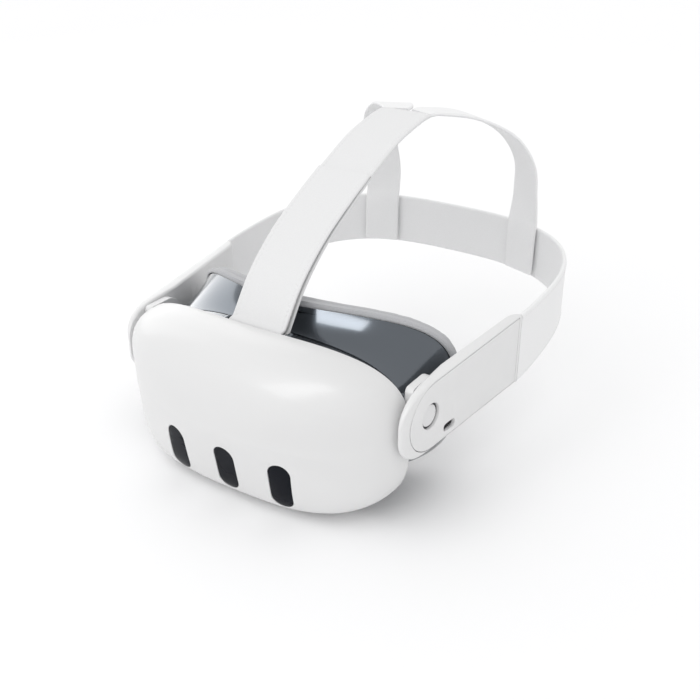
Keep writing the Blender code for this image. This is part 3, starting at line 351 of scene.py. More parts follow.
def new_object(name, bm, material=None, smooth=35):
    mesh = bpy.data.meshes.new(name)
    bm.to_mesh(mesh)
    bm.free()
    if material:
        mesh.materials.append(material)
    mesh.shade_smooth()
    mesh.set_sharp_from_angle(angle=math.radians(smooth))
    return add_to_scene(name, mesh)


def baked(obj, smooth=35):
    """Applies the object's modifiers."""
    bpy.context.view_layer.update()
    graph = bpy.context.evaluated_depsgraph_get()
    mesh = bpy.data.meshes.new_from_object(obj.evaluated_get(graph))
    obj.modifiers.clear()
    obj.data = mesh
    mesh.shade_smooth()
    mesh.set_sharp_from_angle(angle=math.radians(smooth))
    return obj


def modify(obj, name, kind, **settings):
    modifier = obj.modifiers.new(name, kind)
    for key, value in settings.items():
        setattr(modifier, key, value)
    return obj


def combine(obj, others, operation="DIFFERENCE"):
    """Joins or cuts with other objects or bmeshes, which are then deleted."""
    others = [each if isinstance(each, bpy.types.Object) else new_object("cutter", each) for each in others]
    how = {"operation": operation, "solver": "EXACT", "material_mode": "INDEX"}
    for other in others:
        modify(obj, other.name, "BOOLEAN", object=other, **how)
    baked(obj)
    for other in others:
        bpy.data.objects.remove(other)
    return obj


def bevel(obj, width, segments=3, angle=40):
    how = {"limit_method": "ANGLE", "angle_limit": math.radians(angle)}
    return modify(obj, "bevel", "BEVEL", width=width, segments=segments, **how)


def cut_and_round(obj, others, width, segments, angle, smooth=35, operation="DIFFERENCE"):
    """Combines the object with others, then bevels the edges sharper than angle."""
    combine(obj, others, operation)
    return baked(bevel(obj, width, segments, angle), smooth)


def solidify(obj, thickness):
    return modify(obj, "wall", "SOLIDIFY", thickness=thickness, offset=-1, use_even_offset=True)


def finish_piece(obj, body, slot, *nodes):
    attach(obj, body)
    if nodes:
        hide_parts(*nodes)
    return obj


def box(low, high):
    bm = bmesh.new()
    bmesh.ops.create_cube(bm, size=1)
    low, high = Vector(low), Vector(high)
    bmesh.ops.scale(bm, vec=high - low, verts=bm.verts)
    bmesh.ops.translate(bm, vec=(low + high) / 2, verts=bm.verts)
    return bm


def cylinder(start, end, radius, segments=64):
    start, end = Vector(start), Vector(end)
    bm = bmesh.new()
    bmesh.ops.create_cone(
        bm, cap_ends=True, segments=segments, radius1=radius, radius2=radius, depth=(end - start).length
    )
    turn = Vector((0, 0, 1)).rotation_difference(end - start).to_matrix().to_4x4()
    bmesh.ops.transform(bm, matrix=Matrix.Translation((start + end) / 2) @ turn, verts=bm.verts)
    return bm


def add_loft(bm, rings, caps=True, closed=False):
    rows = [[bm.verts.new(point) for point in ring] for ring in rings]
    pairs = zip(rows, rows[1:] + rows[:1]) if closed else zip(rows, rows[1:])
    for first, second in pairs:
        for i in range(len(first)):
            j = (i + 1) % len(first)
            bm.faces.new((first[i], first[j], second[j], second[i]))
    if caps and not closed:
        bm.faces.new(rows[0])
        bm.faces.new(rows[-1])


def loft(rings, caps=True, closed=False):
    bm = bmesh.new()
    add_loft(bm, rings, caps, closed)
    if caps or closed:
        bmesh.ops.recalc_face_normals(bm, faces=bm.faces)
    return bm


def outward(bm):
    bmesh.ops.recalc_face_normals(bm, faces=bm.faces)
    side = max(bm.faces, key=lambda face: face.calc_center_median().x)
    if side.normal.x < 0:
        bmesh.ops.reverse_faces(bm, faces=bm.faces)
    return bm


def plate(outline, thickness, matrix):
    half = thickness / 2
    return loft([[matrix @ Vector((x, y, z)) for x, y in outline] for z in (-half, half)])


def quarter_turn(axis, x, y, z):
    return Matrix.Translation((x, y, z)) @ Matrix.Rotation(math.pi / 2, 4, axis)


def side_box(side, x, y, z):
    """A box from its ranges, with x measured outwards from the middle to one side."""
    low, high = sorted((side * x[0], side * x[1]))
    return box((low, y[0], z[0]), (high, y[1], z[1]))


def side_rod(side, start, end, y, z, radius, segments=64):
    return cylinder((side * start, y, z), (side * end, y, z), radius, segments)


def revolve(profile, centre, axis="Y", steps=96):
    """A closed (radius, height) profile turned round the axis through the centre."""
    rings = []
    for radius, height in profile:
        ring = []
        for i in range(steps):
            turn = 2 * math.pi * i / steps
            a, b = radius * math.cos(turn), radius * math.sin(turn)
            point = {"X": (height, a, b), "Y": (a, height, b), "Z": (a, b, height)}[axis]
            ring.append(Vector(centre) + Vector(point))
        rings.append(ring)
    return loft(rings, closed=True)


def stadium(width, length, arc=28):
    radius = width / 2
    points = []
    for end in (1, -1):
        for i in range(arc):
            turn = math.pi * i / (arc - 1)
            up = length / 2 - radius + radius * math.sin(turn)
            points.append((end * radius * math.cos(turn), end * up))
    return points


def power(value, exponent):
    return math.copysign(abs(value) ** exponent, value)


def rounded(half_width, half_height, corner=CORNER, count=160):
    points = []
    for i in range(count):
        turn = 2 * math.pi * (i + 0.5) / count
        x, y = math.cos(turn), math.sin(turn)
        reach = (abs(x) ** corner + abs(y) ** corner) ** (-1 / corner)
        points.append((half_width * reach * x, half_height * reach * y))
    return points


def curve_point(a, b, c, d, t):
    """The point a share t of the way from b to c, on a smooth curve through all four."""
    square = (2 * a - 5 * b + 4 * c - d) * t**2
    return 0.5 * (2 * b + (c - a) * t + square + (3 * b - a - 3 * c + d) * t**3)


def direction(path, i):
    return (path[min(i + 1, len(path) - 1)] - path[max(i - 1, 0)]).normalized()


def smooth_path(points, steps):
    points = [Vector(point) for point in points]
    ends = [2 * points[0] - points[1], *points, 2 * points[-1] - points[-2]]
    path = []
    for a, b, c, d in zip(ends, ends[1:], ends[2:], ends[3:]):
        path += [curve_point(a, b, c, d, i / steps) for i in range(steps)]
    return [*path, points[-1]]


FLAT_SHARE = 0.93  # thickness of a strap's flat middle over that near its selvedges


def strap_section(half_width, half_thick, edge=5):
    """A webbing cross-section: flat faces with round selvedges, a touch thicker just inside them."""
    points = []
    for side in (1, -1):
        for i in range(edge + 1):
            turn = math.pi * (i / edge - 0.5)
            reach = half_width - half_thick + half_thick * math.cos(turn)
            points.append((side * reach, side * half_thick * math.sin(turn)))
        for share in (0.92, 0.8, 0.4, 0.0, -0.4, -0.8, -0.92):
            thick = 1.0 if abs(share) > 0.9 else FLAT_SHARE
            points.append((side * share * half_width, side * half_thick * thick))
    return points


def strap(path, across, widths, thickness):
    """A soft strap along a path, with the direction of its width and its half width at each point."""
    rings = []
    for i, point in enumerate(path):
        along = direction(path, i)
        side = (across[i] - along * across[i].dot(along)).normalized()
        out = along.cross(side).normalized()
        rings.append([point + side * a + out * b for a, b in strap_section(widths[i], thickness / 2)])
    return loft(rings)


def stitch_rings(centre, along, normal):
    side = along.cross(normal).normalized()
    turns = [2 * math.pi * k / 6 for k in range(6)]
    around = [side * math.cos(a) + normal * math.sin(a) for a in turns]
    rings = []
    for t, grow, lift in STITCH_RINGS:
        middle = centre + along * (t * STITCH_LENGTH) + normal * (lift * STITCH_RADIUS)
        rings.append([middle + out * STITCH_RADIUS * grow for out in around])
    return rings


def stitches(name, points, normals):
    """A run of thread stitches along a polyline that lies on a surface."""
    bm = bmesh.new()
    travelled, wanted = 0.0, STITCH_PITCH / 2
    for i in range(len(points) - 1):
        start, end = points[i], points[i + 1]
        span = (end - start).length
        while wanted <= travelled + span:
            share = (wanted - travelled) / span
            normal = normals[i].lerp(normals[min(i + 1, len(normals) - 1)], share).normalized()
            add_loft(bm, stitch_rings(start.lerp(end, share), (end - start).normalized(), normal))
            wanted += STITCH_PITCH
        travelled += span
    bmesh.ops.recalc_face_normals(bm, faces=bm.faces)
    return new_object(name, bm, THREAD, 60)


# Visor: shell and windows


def shell_ring(share, count=176):
    ring = []
    for i in range(count):
        turn = 2 * math.pi * (i + 0.5) / count
        turn -= 0.16 * math.sin(4 * turn)
        x = HALF_WIDTH * power(math.cos(turn), 2 / CORNER)
        z = HALF_HEIGHT * power(math.sin(turn), 2 / CORNER)
        upright = abs(math.sin(turn))
        dome = 2.1 + (0.7 * upright if z > 0 else 1.2 * upright**2)
        back = 1 - (1 - share**dome) ** (1 / dome)
        edge = EDGE_Y + EDGE_CURVE * x * x
        y = FRONT_Y + (edge - FRONT_Y) * back + chin(x * share, z * share)
        ring.append(Vector((x * share, y, CENTRE_Z + z * share)))
    return ring


def chin(x, z):
    """How far the flat lower front, which holds the windows, lies behind the even dome."""
    reach = max(0.02, 1 - abs(x / HALF_WIDTH) ** CORNER) ** (1 / CORNER)
    share = (-z / reach - CHIN_START) / CHIN_LENGTH
    if not 0 < share < 1:
        return 0.0
    return CHIN_DEPTH * share**1.5 * (1 - share) * (1 - (x / HALF_WIDTH) ** 4)


def window_matrix(x, y, turn_out):
    tilt = Matrix.Rotation(math.pi / 2 + WINDOW_TILT, 4, "X")
    turn = Matrix.Rotation(math.radians(turn_out), 4, "Z")
    return Matrix.Translation((x, y, WINDOW_Z)) @ turn @ tilt


SHARES = (
    0.06, 0.12, 0.18, 0.25, 0.32, 0.4, 0.48, 0.55, 0.62, 0.68, 0.735,
    0.78, 0.83, 0.865, 0.9, 0.925, 0.95, 0.965, 0.98, 0.99, 0.997, 1.0,
)


def visor_surface(name, material, thickness):
    rings = [shell_ring(share) for share in SHARES]
    bm = loft(rings, caps=False)
    bm.verts.ensure_lookup_table()
    front = bm.faces.new(bm.verts[: len(rings[0])])
    centre = bmesh.ops.poke(bm, faces=[front])["verts"][0]
    centre.co = Vector((0, FRONT_Y, CENTRE_Z))
    bmesh.ops.recalc_face_normals(bm, faces=bm.faces)
    if max(bm.faces, key=lambda face: face.calc_center_median().z).normal.z < 0:
        bmesh.ops.reverse_faces(bm, faces=bm.faces)
    return solidify(new_object(name, bm, material), thickness)


def make_shell():
    shell = visor_surface("visor_shell", GLOSS, SHELL_WALL)
    cutters = []
    for name, x, y, turn_out in WINDOWS:
        opening = stadium(WINDOW_WIDTH + 2 * GAP, WINDOW_LENGTH + 2 * GAP)
        cutters.append(plate(opening, 24 * MM, window_matrix(x, y, turn_out)))
    for i in range(VENT_COUNT):
        x = (VENT_START + VENT_PITCH * i) * MM
        place = Matrix.Translation((x + 1.2 * MM, -17 * MM, 5 * MM))
        cutters.append(plate(stadium(2.4 * MM, 10 * MM, 8), 14 * MM, place))
    for name, x, half in (("power", POWER_X, POWER_HALF), ("volume", VOLUME_X, VOLUME_HALF + 0.8 * MM)):
        hole = box((x - half - GAP, BUTTON_Y[0] - GAP, -2 * MM), (x + half + GAP, BUTTON_Y[1] + GAP, 12 * MM))
        cutters.append(baked(bevel(new_object("cut_" + name, hole), 1.2 * MM)))
    cut_and_round(shell, cutters, 0.35 * MM, 2, 55, 30)
    finish_piece(shell, "visor", "visor_shell", "front_shell")


def make_windows():
    for name, x, y, turn_out in WINDOWS:
        glass = visor_surface("window_" + name, GLASS, WINDOW_THICK)
        baked(glass)
        glass.data.transform(Matrix.Translation((0, GAP, 0)))
        outline = stadium(WINDOW_WIDTH, WINDOW_LENGTH)
        prism = plate(outline, 20 * MM, window_matrix(x, y, turn_out))
        cut_and_round(glass, [prism], 0.3 * MM, 3, 55, 40, "INTERSECT")
        finish_piece(glass, "visor", "window_glass", "sensor_window_" + name)


# Visor: housing, interface and cushion


def swept_ring(half_width, half_height, centre_z, y, sweep):
    half_width, half_height, centre_z, y = (value * MM for value in (half_width, half_height, centre_z, y))
    return [Vector((x, y + sweep * x * x, centre_z + z)) for x, z in rounded(half_width, half_height)]


def between(rings, steps):
    """Rings blended smoothly between the given rows of numbers."""
    rows = []
    for i in range(len(rings) - 1):
        before, here = rings[max(i - 1, 0)], rings[i]
        after, later = rings[i + 1], rings[min(i + 2, len(rings) - 1)]
        for k in range(steps):
            rows.append([curve_point(*four, k / steps) for four in zip(before, here, after, later)])
    return [*rows, rings[-1]]


def make_housing():
    rings = [swept_ring(*ring) for ring in between(HOUSING_RINGS, 3)]
    housing = baked(solidify(new_object("rear_body", outward(loft(rings, caps=False)), DARK), 2 * MM))
    middle = sum(BULKHEAD_Y) / 2
    thick = BULKHEAD_Y[1] - BULKHEAD_Y[0]
    wall = plate(rounded(85.1 * MM, 40 * MM), thick, quarter_turn("X", 0, middle, 49.2 * MM))
    pad = new_object("pad", box((-36 * MM, -3.6 * MM, 0), (36 * MM, 12 * MM, 9.3 * MM)))
    baked(bevel(pad, 1.5 * MM))
    joined = [wall, pad]
    for side in (-1, 1):
        lug = side_box(side, LUG_X, (-5.5 * MM, 0.3 * MM), (90 * MM, 98.6 * MM))
        joined.append(baked(bevel(new_object(f"lug_{side}", lug), 1.2 * MM)))
        joined.append(side_box(side, BOSS_X, (6 * MM, 12.6 * MM), (54 * MM, 75 * MM)))
    combine(housing, joined, "UNION")
    cutters = []
    for side in (-1, 1):
        place = quarter_turn("X", side * LENS_X, middle, CENTRE_Z) @ Matrix.Rotation(math.pi / 2, 4, "Z")
        cutters.append(plate(stadium(46 * MM, 53 * MM, 40), 8 * MM, place))
    slot = box((-19.4 * MM, WHEEL_Y[0] - 0.4 * MM, -MM), (19.4 * MM, WHEEL_Y[1] + 0.4 * MM, 13 * MM))
    cutters.append(baked(bevel(new_object("wheel_slot", slot), 0.8 * MM)))
    cut_and_round(housing, cutters, 0.4 * MM, 2, 55, 30)
    finish_piece(housing, "visor", "dark_housing", "rear_housing")


def face_y(x, y):
    return y + RIM_CURVE * x * x


def nose_lift(x, z, share=1.0):
    return share * NOSE_RISE * math.exp(-((x / NOSE_WIDTH) ** 2)) if z < 0 else 0.0


def face_ring(half_width, half_height, y, count=192):
    ring = []
    for x, z in rounded(half_width, half_height, count=count):
        ring.append(Vector((x, face_y(x, y), RIM_Z + z + nose_lift(x, z))))
    return ring


def interface_size(share):
    """Half width, half height and centre height of the interface, a share of the way to its rim."""
    return (86 + 4 * share**2) * MM, (41 + 11.2 * share**2.2) * MM, (49.2 + 4.5 * share) * MM


def make_interface():
    rings = []
    steps = 18
    for i in range(steps + 1):
        share = i / steps
        half_width, half_height, centre_z = interface_size(share)
        ring = []
        for x, z in rounded(half_width, half_height, count=192):
            y = INTERFACE_START + (face_y(x, RIM_Y) - INTERFACE_START) * share
            ring.append(Vector((x, y, centre_z + z + nose_lift(x, z, share**3))))
        rings.append(ring)
    rim = face_ring(*RIM_HALF, RIM_Y)
    for share in (0.33, 0.66):
        rings.append([a.lerp(b, share) for a, b in zip(rim, face_ring(*FLANGE_HALF, RIM_Y))])
    rings.append(face_ring(*FLANGE_HALF, RIM_Y))
    interface = solidify(new_object("facial_interface", outward(loft(rings, caps=False)), DARK), 2 * MM)
    baked(interface)
    baked(bevel(interface, 0.7 * MM, 3, 50), 30)
    finish_piece(interface, "visor", "dark_housing", "interface_frame")


CUSHION_RINGS = (  # half width, half height, distance behind the rim
    (89.4, 51.7, 1.2),
    (90.0, 52.4, 3.2),
    (90.2, 52.6, 5.5),
    (89.6, 52.0, 8.5),
    (88.0, 50.6, 10.6),
    (85.2, 48.8, 11.4),
    (81.5, 46.4, 11.6),
    (78.0, 43.4, 11.2),
    (75.0, 41.1, 10.2),
    (72.6, 39.4, 8.4),
    (71.4, 37.9, 6.5),
    (70.8, 37.4, 3.6),
    (70.7, 37.3, 1.2),
)


def make_cushion():
    rings = [face_ring(w * MM, h * MM, RIM_Y + y * MM) for w, h, y in CUSHION_RINGS]
    cushion = new_object("face_cushion_cover", loft(rings, closed=True), FOAM)
    inflate(cushion)
    finish_piece(cushion, "visor", "face_foam", "face_cushion")
    ring = face_ring(89.9 * MM, 52.2 * MM, RIM_Y + 0.75 * MM)
    rings = []
    for i, point in enumerate(ring):
        along = (ring[(i + 1) % len(ring)] - ring[i - 1]).normalized()
        across = Vector((0, 1, 0)).cross(along).normalized()
        up = along.cross(across)
        turns = [2 * math.pi * k / 8 for k in range(8)]
        rings.append([point + (across * math.cos(a) + up * math.sin(a)) * 0.65 * MM for a in turns])
    piping = new_object("cushion_piping", loft(rings, closed=True), RUBBER, 70)
    finish_piece(piping, "visor", "seal_rubber")


def interface_point(x, z, behind, grow=0.0):
    """A point on the interface's outer surface, in front of its rim, from x and z of the unit outline."""
    share = 1 - behind / (face_y(RIM_HALF[0] * x, RIM_Y) - INTERFACE_START)
    half_width, half_height, centre_z = interface_size(share)
    px, pz = (half_width + grow) * x, (half_height + grow) * z
    y = INTERFACE_START + (face_y(px, RIM_Y) - INTERFACE_START) * share
    return Vector((px, y - 0.7 * grow, centre_z + pz + nose_lift(px, pz, share**3)))


HEM_OUTSIDE = (  # share of the hem's length, and how far it stands off the interface in mm
    (1.0, 0.35), (1.0, 0.9), (0.95, 1.25), (0.75, 1.35),
    (0.5, 1.4), (0.25, 1.45), (0.06, 1.4),
)
HEM_TURN = (  # half width, half height and distance behind the rim, in mm
    (91.1, 53.3, 0.7), (90.9, 53.1, 2.4),
    (90.2, 52.4, 2.4), (90.3, 52.5, 0.5),
)


def make_hem():
    """The hem of the cushion's cover, which wraps forward over the rim of the facial interface."""
    outline = rounded(1, 1, count=192)
    rows = []
    for share, grow in HEM_OUTSIDE:
        rows.append([interface_point(x, z, share * hem_length(x), grow * MM) for x, z in outline])
    for width, height, behind in HEM_TURN:
        rows.append(face_ring(width * MM, height * MM, RIM_Y + behind * MM))
    for share in (0.1, 0.35, 0.6, 0.85):
        rows.append([interface_point(x, z, share * hem_length(x), 0.35 * MM) for x, z in outline])
    hem = new_object("cushion_hem", loft(rows, closed=True), FOAM, 60)
    finish_piece(hem, "visor", "face_foam")


def hem_length(x):
    return (0.8 + 0.7 * min(1, (abs(x) / 0.63) ** 2)) * MM


CUSHION_VOXEL, HELD_EDGE, MOST_SWELL = 2.2 * MM, 3.0 * MM, 1.6 * MM
CLOTH_FRAMES = 12


def inflate(obj):
    """Cloth with inner pressure, capped, so that the foam's cover swells between its edges."""
    baked(modify(obj, "remesh", "REMESH", mode="VOXEL", voxel_size=CUSHION_VOXEL))
    rest = [vertex.co.copy() for vertex in obj.data.vertices]
    group = obj.vertex_groups.new(name="held")
    for i, point in enumerate(rest):
        if point.y - face_y(point.x, RIM_Y) < HELD_EDGE:
            group.add([i], 1.0, "REPLACE")
    cloth = obj.modifiers.new("cloth", "CLOTH")
    settings = cloth.settings
    settings.quality = 4
    settings.mass = 0.05
    settings.tension_stiffness = settings.compression_stiffness = 25
    settings.bending_stiffness = 1.0
    settings.use_pressure = True
    settings.uniform_pressure_force = 4
    settings.vertex_group_mass = group.name
    settings.effector_weights.gravity = 0
    cloth.collision_settings.use_collision = False
    scene = bpy.context.scene
    for frame_number in range(1, CLOTH_FRAMES + 1):
        scene.frame_set(frame_number)
    graph = bpy.context.evaluated_depsgraph_get()
    moved = [vertex.co.copy() for vertex in obj.evaluated_get(graph).data.vertices]
    obj.modifiers.clear()
    obj.vertex_groups.clear()
    scene.frame_set(1)
    for vertex, before, after in zip(obj.data.vertices, rest, moved):
        step = after - before
        vertex.co = before + (step if step.length < MOST_SWELL else step.normalized() * MOST_SWELL)
    modify(obj, "smooth", "SMOOTH", iterations=4)
    baked(modify(obj, "subdivide", "SUBSURF", levels=1, render_levels=1), 80)


def make_nose_flap():
    front = RIM_Y - 4.4 * MM
    rings = []
    for y in (front, front + 0.6 * MM, front + 1.2 * MM):
        upper, lower = [], []
        for i in range(-24, 25):
            share = i / 24
            x = share * 30 * MM
            fall = 1 - abs(x / FLANGE_HALF[0]) ** CORNER
            edge = RIM_Z - FLANGE_HALF[1] * fall ** (1 / CORNER) + nose_lift(x, -1)
            wave = 0.35 * MM * math.sin(share * 9)
            upper.append(Vector((x, face_y(x, y) + wave, edge + (2 + 6 * (1 - share**2)) * MM)))
            lower.append(Vector((x, face_y(x, y), edge - 3 * MM)))
        rings.append(upper + lower[::-1])
    flap = new_object("nose_light_seal", loft(rings), RUBBER)
    baked(bevel(flap, 0.4 * MM, 3, 50), 60)
    finish_piece(flap, "visor", "seal_rubber", "nose_flap")


# Lenses


def make_lenses():
    turns = [math.pi * i / 20 - math.pi / 2 for i in range(1, 20)]
    profile = [(LENS_RADIUS * math.cos(turn) * 0.995, LENS_BULGE * math.sin(turn)) for turn in turns]
    for side, name in SIDES:
        centre = (side * LENS_X, 0.3 * MM, CENTRE_Z)
        lens = new_object("lens_element_" + name, revolve(profile, centre), LENS, 60)
        for end in (1, -1):
            cap_lens(lens, centre, end)
        finish_piece(lens, "lens_unit_" + name, "lens_glass", "lens_" + name)
        bezel = revolve([(r * MM, y * MM) for r, y in BEZEL_PROFILE], (side * LENS_X, 0, CENTRE_Z))
        bezel = new_object("lens_bezel_" + name, bezel, BLACK, 50)
        finish_piece(bezel, "lens_unit_" + name, "black_plastic")


def cap_lens(lens, centre, end):
    """Closes the small hole that the revolved profile leaves on the lens axis."""
    bm = bmesh.new()
    bm.from_mesh(lens.data)
    near = [v for v in bm.verts if (v.co.y - centre[1]) * end > 0]
    least = min(math.hypot(v.co.x - centre[0], v.co.z - centre[2]) for v in near)
    ring = [v for v in near if math.hypot(v.co.x - centre[0], v.co.z - centre[2]) < least * 1.001]
    bmesh.ops.pointmerge(bm, verts=ring, merge_co=Vector(centre) + Vector((0, end * LENS_BULGE, 0)))
    bm.to_mesh(lens.data)
    bm.free()


# Strap arms


def arm_outer(y):
    return 97.55 * MM + ARM_SPLAY * y


def arm_inner(y):
    return ARM_INNER + 0.125 * max(0, y - 34 * MM)


def arm_top(y):
    return 83.3 * MM + 0.066 * y


def arm_bottom(y):
    return 42.3 * MM + 0.035 * y


def arm_section(y, inner, outer, height, radius, arc=7):
    """A rounded rectangle round the arm at this y."""
    middle = (arm_top(y) + arm_bottom(y)) / 2
    half = (arm_top(y) - arm_bottom(y)) / 2 * height
    r = min(radius, half * 0.9, (outer - inner) * 0.48)
    points = []
    corners = ((outer - r, half - r), (inner + r, half - r), (inner + r, r - half), (outer - r, r - half))
    for corner, (x, z) in enumerate(corners):
        for i in range(arc):
            turn = math.pi / 2 * (corner + i / (arc - 1))
            points.append(Vector((x + r * math.cos(turn), y, middle + z + r * math.sin(turn))))
    return points


def front_share(y, reach, exponent):
    if y >= ARM_FULL:
        return 1.0
    return (1 - ((ARM_FULL - y) / reach) ** exponent) ** (1 / exponent)


def mirrored(rings, side):
    return [[Vector((side * point.x, point.y, point.z)) for point in ring] for ring in rings]


COVER_STATIONS = (  # y in mm
    -2.95, -2.8, -2.5, -2.0, -1.2, 0, 1.5, 3, 5, 7.5, 10,
    13, 17, 22, 28, 34, 45, 60, 75, 88, 96, 101.5,
)


def cover_rings(side, grow=0.0):
    rings = []
    reach = 20 * MM + grow
    radius = 0.25 * MM if grow else 0.45 * MM
    for y in COVER_STATIONS:
        y = y * MM
        if y < 0:
            y -= grow
        if y > 100 * MM:
            y += grow
        share = front_share(y, reach, 2.0) * (1 - (1.2 * MM - grow) / (20.5 * MM))
        outer = arm_outer(y) + (3 * MM if grow else 0)
        rings.append(arm_section(y, arm_outer(y) - COVER_THICK - grow, outer, share, radius, 4))
    return mirrored(rings, side)


def arm_stations():
    """y in mm and the share of the arm's thickness there: round at the front end, tapered at the rear."""
    stations = []
    for i in range(14):
        turn = math.pi / 2 * (i + 0.6) / 14
        stations.append((-8.85 + 8.9 * (1 - math.cos(turn)) ** 1.05, 0.22 + 0.78 * math.sin(turn) ** 0.9))
    stations += [(y, 1.0) for y in (1.5, 3.5, 6, 9, 12, 17, 25, 34, 38, 42, 50, 60, 72, 85, 92)]
    stations += [(96, 0.995), (99, 0.96), (101, 0.9), (102.4, 0.8), (103.4, 0.64), (104, 0.42)]
    return stations


def make_arm(side, name):
    rings = []
    for y, thick in arm_stations():
        y = y * MM
        inner, outer = arm_inner(y), arm_outer(y)
        if y < 50 * MM:
            outer = inner + (outer - inner) * thick
        else:
            inner = outer - (outer - inner) * thick
        share = front_share(y, ARM_FULL - ARM_FRONT, 2.8)
        rings.append(arm_section(y, inner, outer, share, 1.7 * MM))
    body = new_object("arm_shell_" + name, loft(mirrored(rings, side)), SATIN)
    cutters = [loft(cover_rings(side, 0.45 * MM))]
    cutters.append(side_rod(side, INSIDE_X, 97 * MM, PIVOT_Y, PIVOT_Z, PIN_RADIUS + GAP))
    half = 9.5 * MM
    y0, y1 = SPEAKER_Y - half, SPEAKER_Y + half
    speaker = (arm_inner(y1) + MM, OUTSIDE_X), (y0, y1), (SPEAKER_Z - half, SPEAKER_Z + half)
    cutters.append(side_box(side, *speaker))
    for i in range(5):
        y = SPEAKER_Y + (i - 2) * 3 * MM
        place = quarter_turn("Y", side * 95 * MM, y, SPEAKER_Z)
        outline = stadium(1.3 * MM, (13 - 1.5 * abs(i - 2)) * MM, 8)
        cutters.append(plate([(b, a) for a, b in outline], 12 * MM, place))
    inner = arm_inner(PORT_Y) + 1.5 * MM
    if side > 0:
        ends = (PORT_Y - 5.5 * MM, PORT_Y + 5.5 * MM), (PORT_Z - 2.5 * MM, PORT_Z + 2.5 * MM)
        room = side_box(side, (inner, OUTSIDE_X), *ends)
    else:
        room = side_rod(side, inner, OUTSIDE_X, PORT_Y, PORT_Z, PORT_RADIUS)
    cutters.append(room)
    cut_and_round(body, cutters, 0.25 * MM, 2, 60, 32)
    finish_piece(body, "head_strap", "white_plastic", "arm_body_" + name)
    make_cover(side, name)


def make_cover(side, name):
    cover = new_object("arm_face_" + name, loft(cover_rings(side)), SATIN)
    hole = side_rod(side, INSIDE_X, OUTSIDE_X, PIVOT_Y, PIVOT_Z, CAP_HOLE, 96)
    cutters = [hole]
    if side > 0:
        opening = plate(stadium(5 * MM, 11 * MM), 30 * MM, quarter_turn("Y", side * 100 * MM, PORT_Y, PORT_Z))
    else:
        opening = side_rod(side, INSIDE_X, OUTSIDE_X, PORT_Y, PORT_Z, PORT_RADIUS)
    cutters.append(opening)
    cut_and_round(cover, cutters, 0.3 * MM, 3, 50, 32)
    finish_piece(cover, "head_strap", "white_plastic", "arm_cover_" + name)
    make_cap(side, name)


def make_cap(side, name):
    """The disc over the pivot pin, and a black ring at the bottom of the gap round it, which paints the
    shadow in that gap.
    """
    centre = Vector((side * (arm_outer(PIVOT_Y) - CAP_DEPTH), PIVOT_Y, PIVOT_Z))
    normal = Vector((side, -ARM_SPLAY, 0)).normalized()
    turn = Vector((0, 0, 1)).rotation_difference(normal).to_matrix().to_4x4()
    made = []
    for piece, profile, material in (
        ("pivot_disc_", CAP_PROFILE, SATIN_INNER),
        # the black ring paints the shadow in the gap round the disc
        ("pivot_gap_shadow_ring_", GAP_SHADOW_RING_PROFILE, RUBBER),
    ):
        bm = revolve([(r * MM, h * MM) for r, h in profile], (0, 0, 0), "Z")
        bmesh.ops.transform(bm, matrix=Matrix.Translation(centre) @ turn, verts=bm.verts)
        made.append(new_object(piece + name, bm, material, 40))
    finish_piece(made[0], "head_strap", "white_plastic", "pivot_cap_" + name)
    finish_piece(made[1], "head_strap", "seal_rubber")


def make_hinge_mount(side, name):
    rings = []
    for x in (88.3 * MM, ARM_INNER - GAP):
        ring = []
        for quarter, (y, z, radius) in enumerate(MOUNT_CORNERS):
            for i in range(16):
                turn = math.pi / 2 * (quarter + i / 15)
                ring.append(Vector((side * x, y + radius * math.cos(turn), z + radius * math.sin(turn))))
        rings.append(ring)
    mount = new_object("hinge_plate_" + name, loft(rings), SATIN)
    bore = side_rod(side, 80 * MM, 97 * MM, PIVOT_Y, PIVOT_Z, PIN_RADIUS + GAP)
    cut_and_round(mount, [bore], 1.2 * MM, 4, 50, 40)
    finish_piece(mount, "visor", "white_plastic", "hinge_mount_" + name)


# Buttons


def make_buttons():
    middle = sum(BUTTON_Y) / 2
    low = (POWER_X - POWER_HALF, BUTTON_Y[0], 1.9 * MM)
    power_key = new_object("power_key", box(low, (POWER_X + POWER_HALF, BUTTON_Y[1], 8.5 * MM)), SATIN)
    baked(bevel(power_key, 1.1 * MM, 5))
    profile = [(r * MM, h * MM) for r, h in ((0.02, -0.3), (1.3, -0.3), (1.5, 0.3), (0.02, 0.3))]
    dimple = revolve(profile, (0, 0, 0), "Z", 32)
    bmesh.ops.translate(dimple, vec=(POWER_X, middle, 1.9 * MM), verts=dimple.verts)
    combine(power_key, [dimple])
    finish_piece(power_key, "power_button", "white_plastic", "power_button")
    axis = (VOLUME_X, middle, 6 * MM)
    bm = box((VOLUME_X - VOLUME_HALF, BUTTON_Y[0], 3.4 * MM), (VOLUME_X + VOLUME_HALF, BUTTON_Y[1], 8 * MM))
    rocker = new_object("volume_key", bm, SATIN)
    baked(bevel(rocker, 1.1 * MM, 5))
    groove = box((VOLUME_X - MM, BUTTON_Y[0] - MM, 2 * MM), (VOLUME_X + MM, BUTTON_Y[1] + MM, 3.8 * MM))
    cut_and_round(rocker, [groove], 0.2 * MM, 2, 60)
    slope = Matrix.Rotation(-VOLUME_SLOPE, 4, "Y")
    rocker.data.transform(Matrix.Translation(axis) @ slope @ Matrix.Translation(-Vector(axis)))
    finish_piece(rocker, "volume_rocker", "white_plastic", "volume_rocker")


# Rear band and top strap


def band_bottom(y):
    return 45.6 * MM + 0.14 * (y - BAND_START)


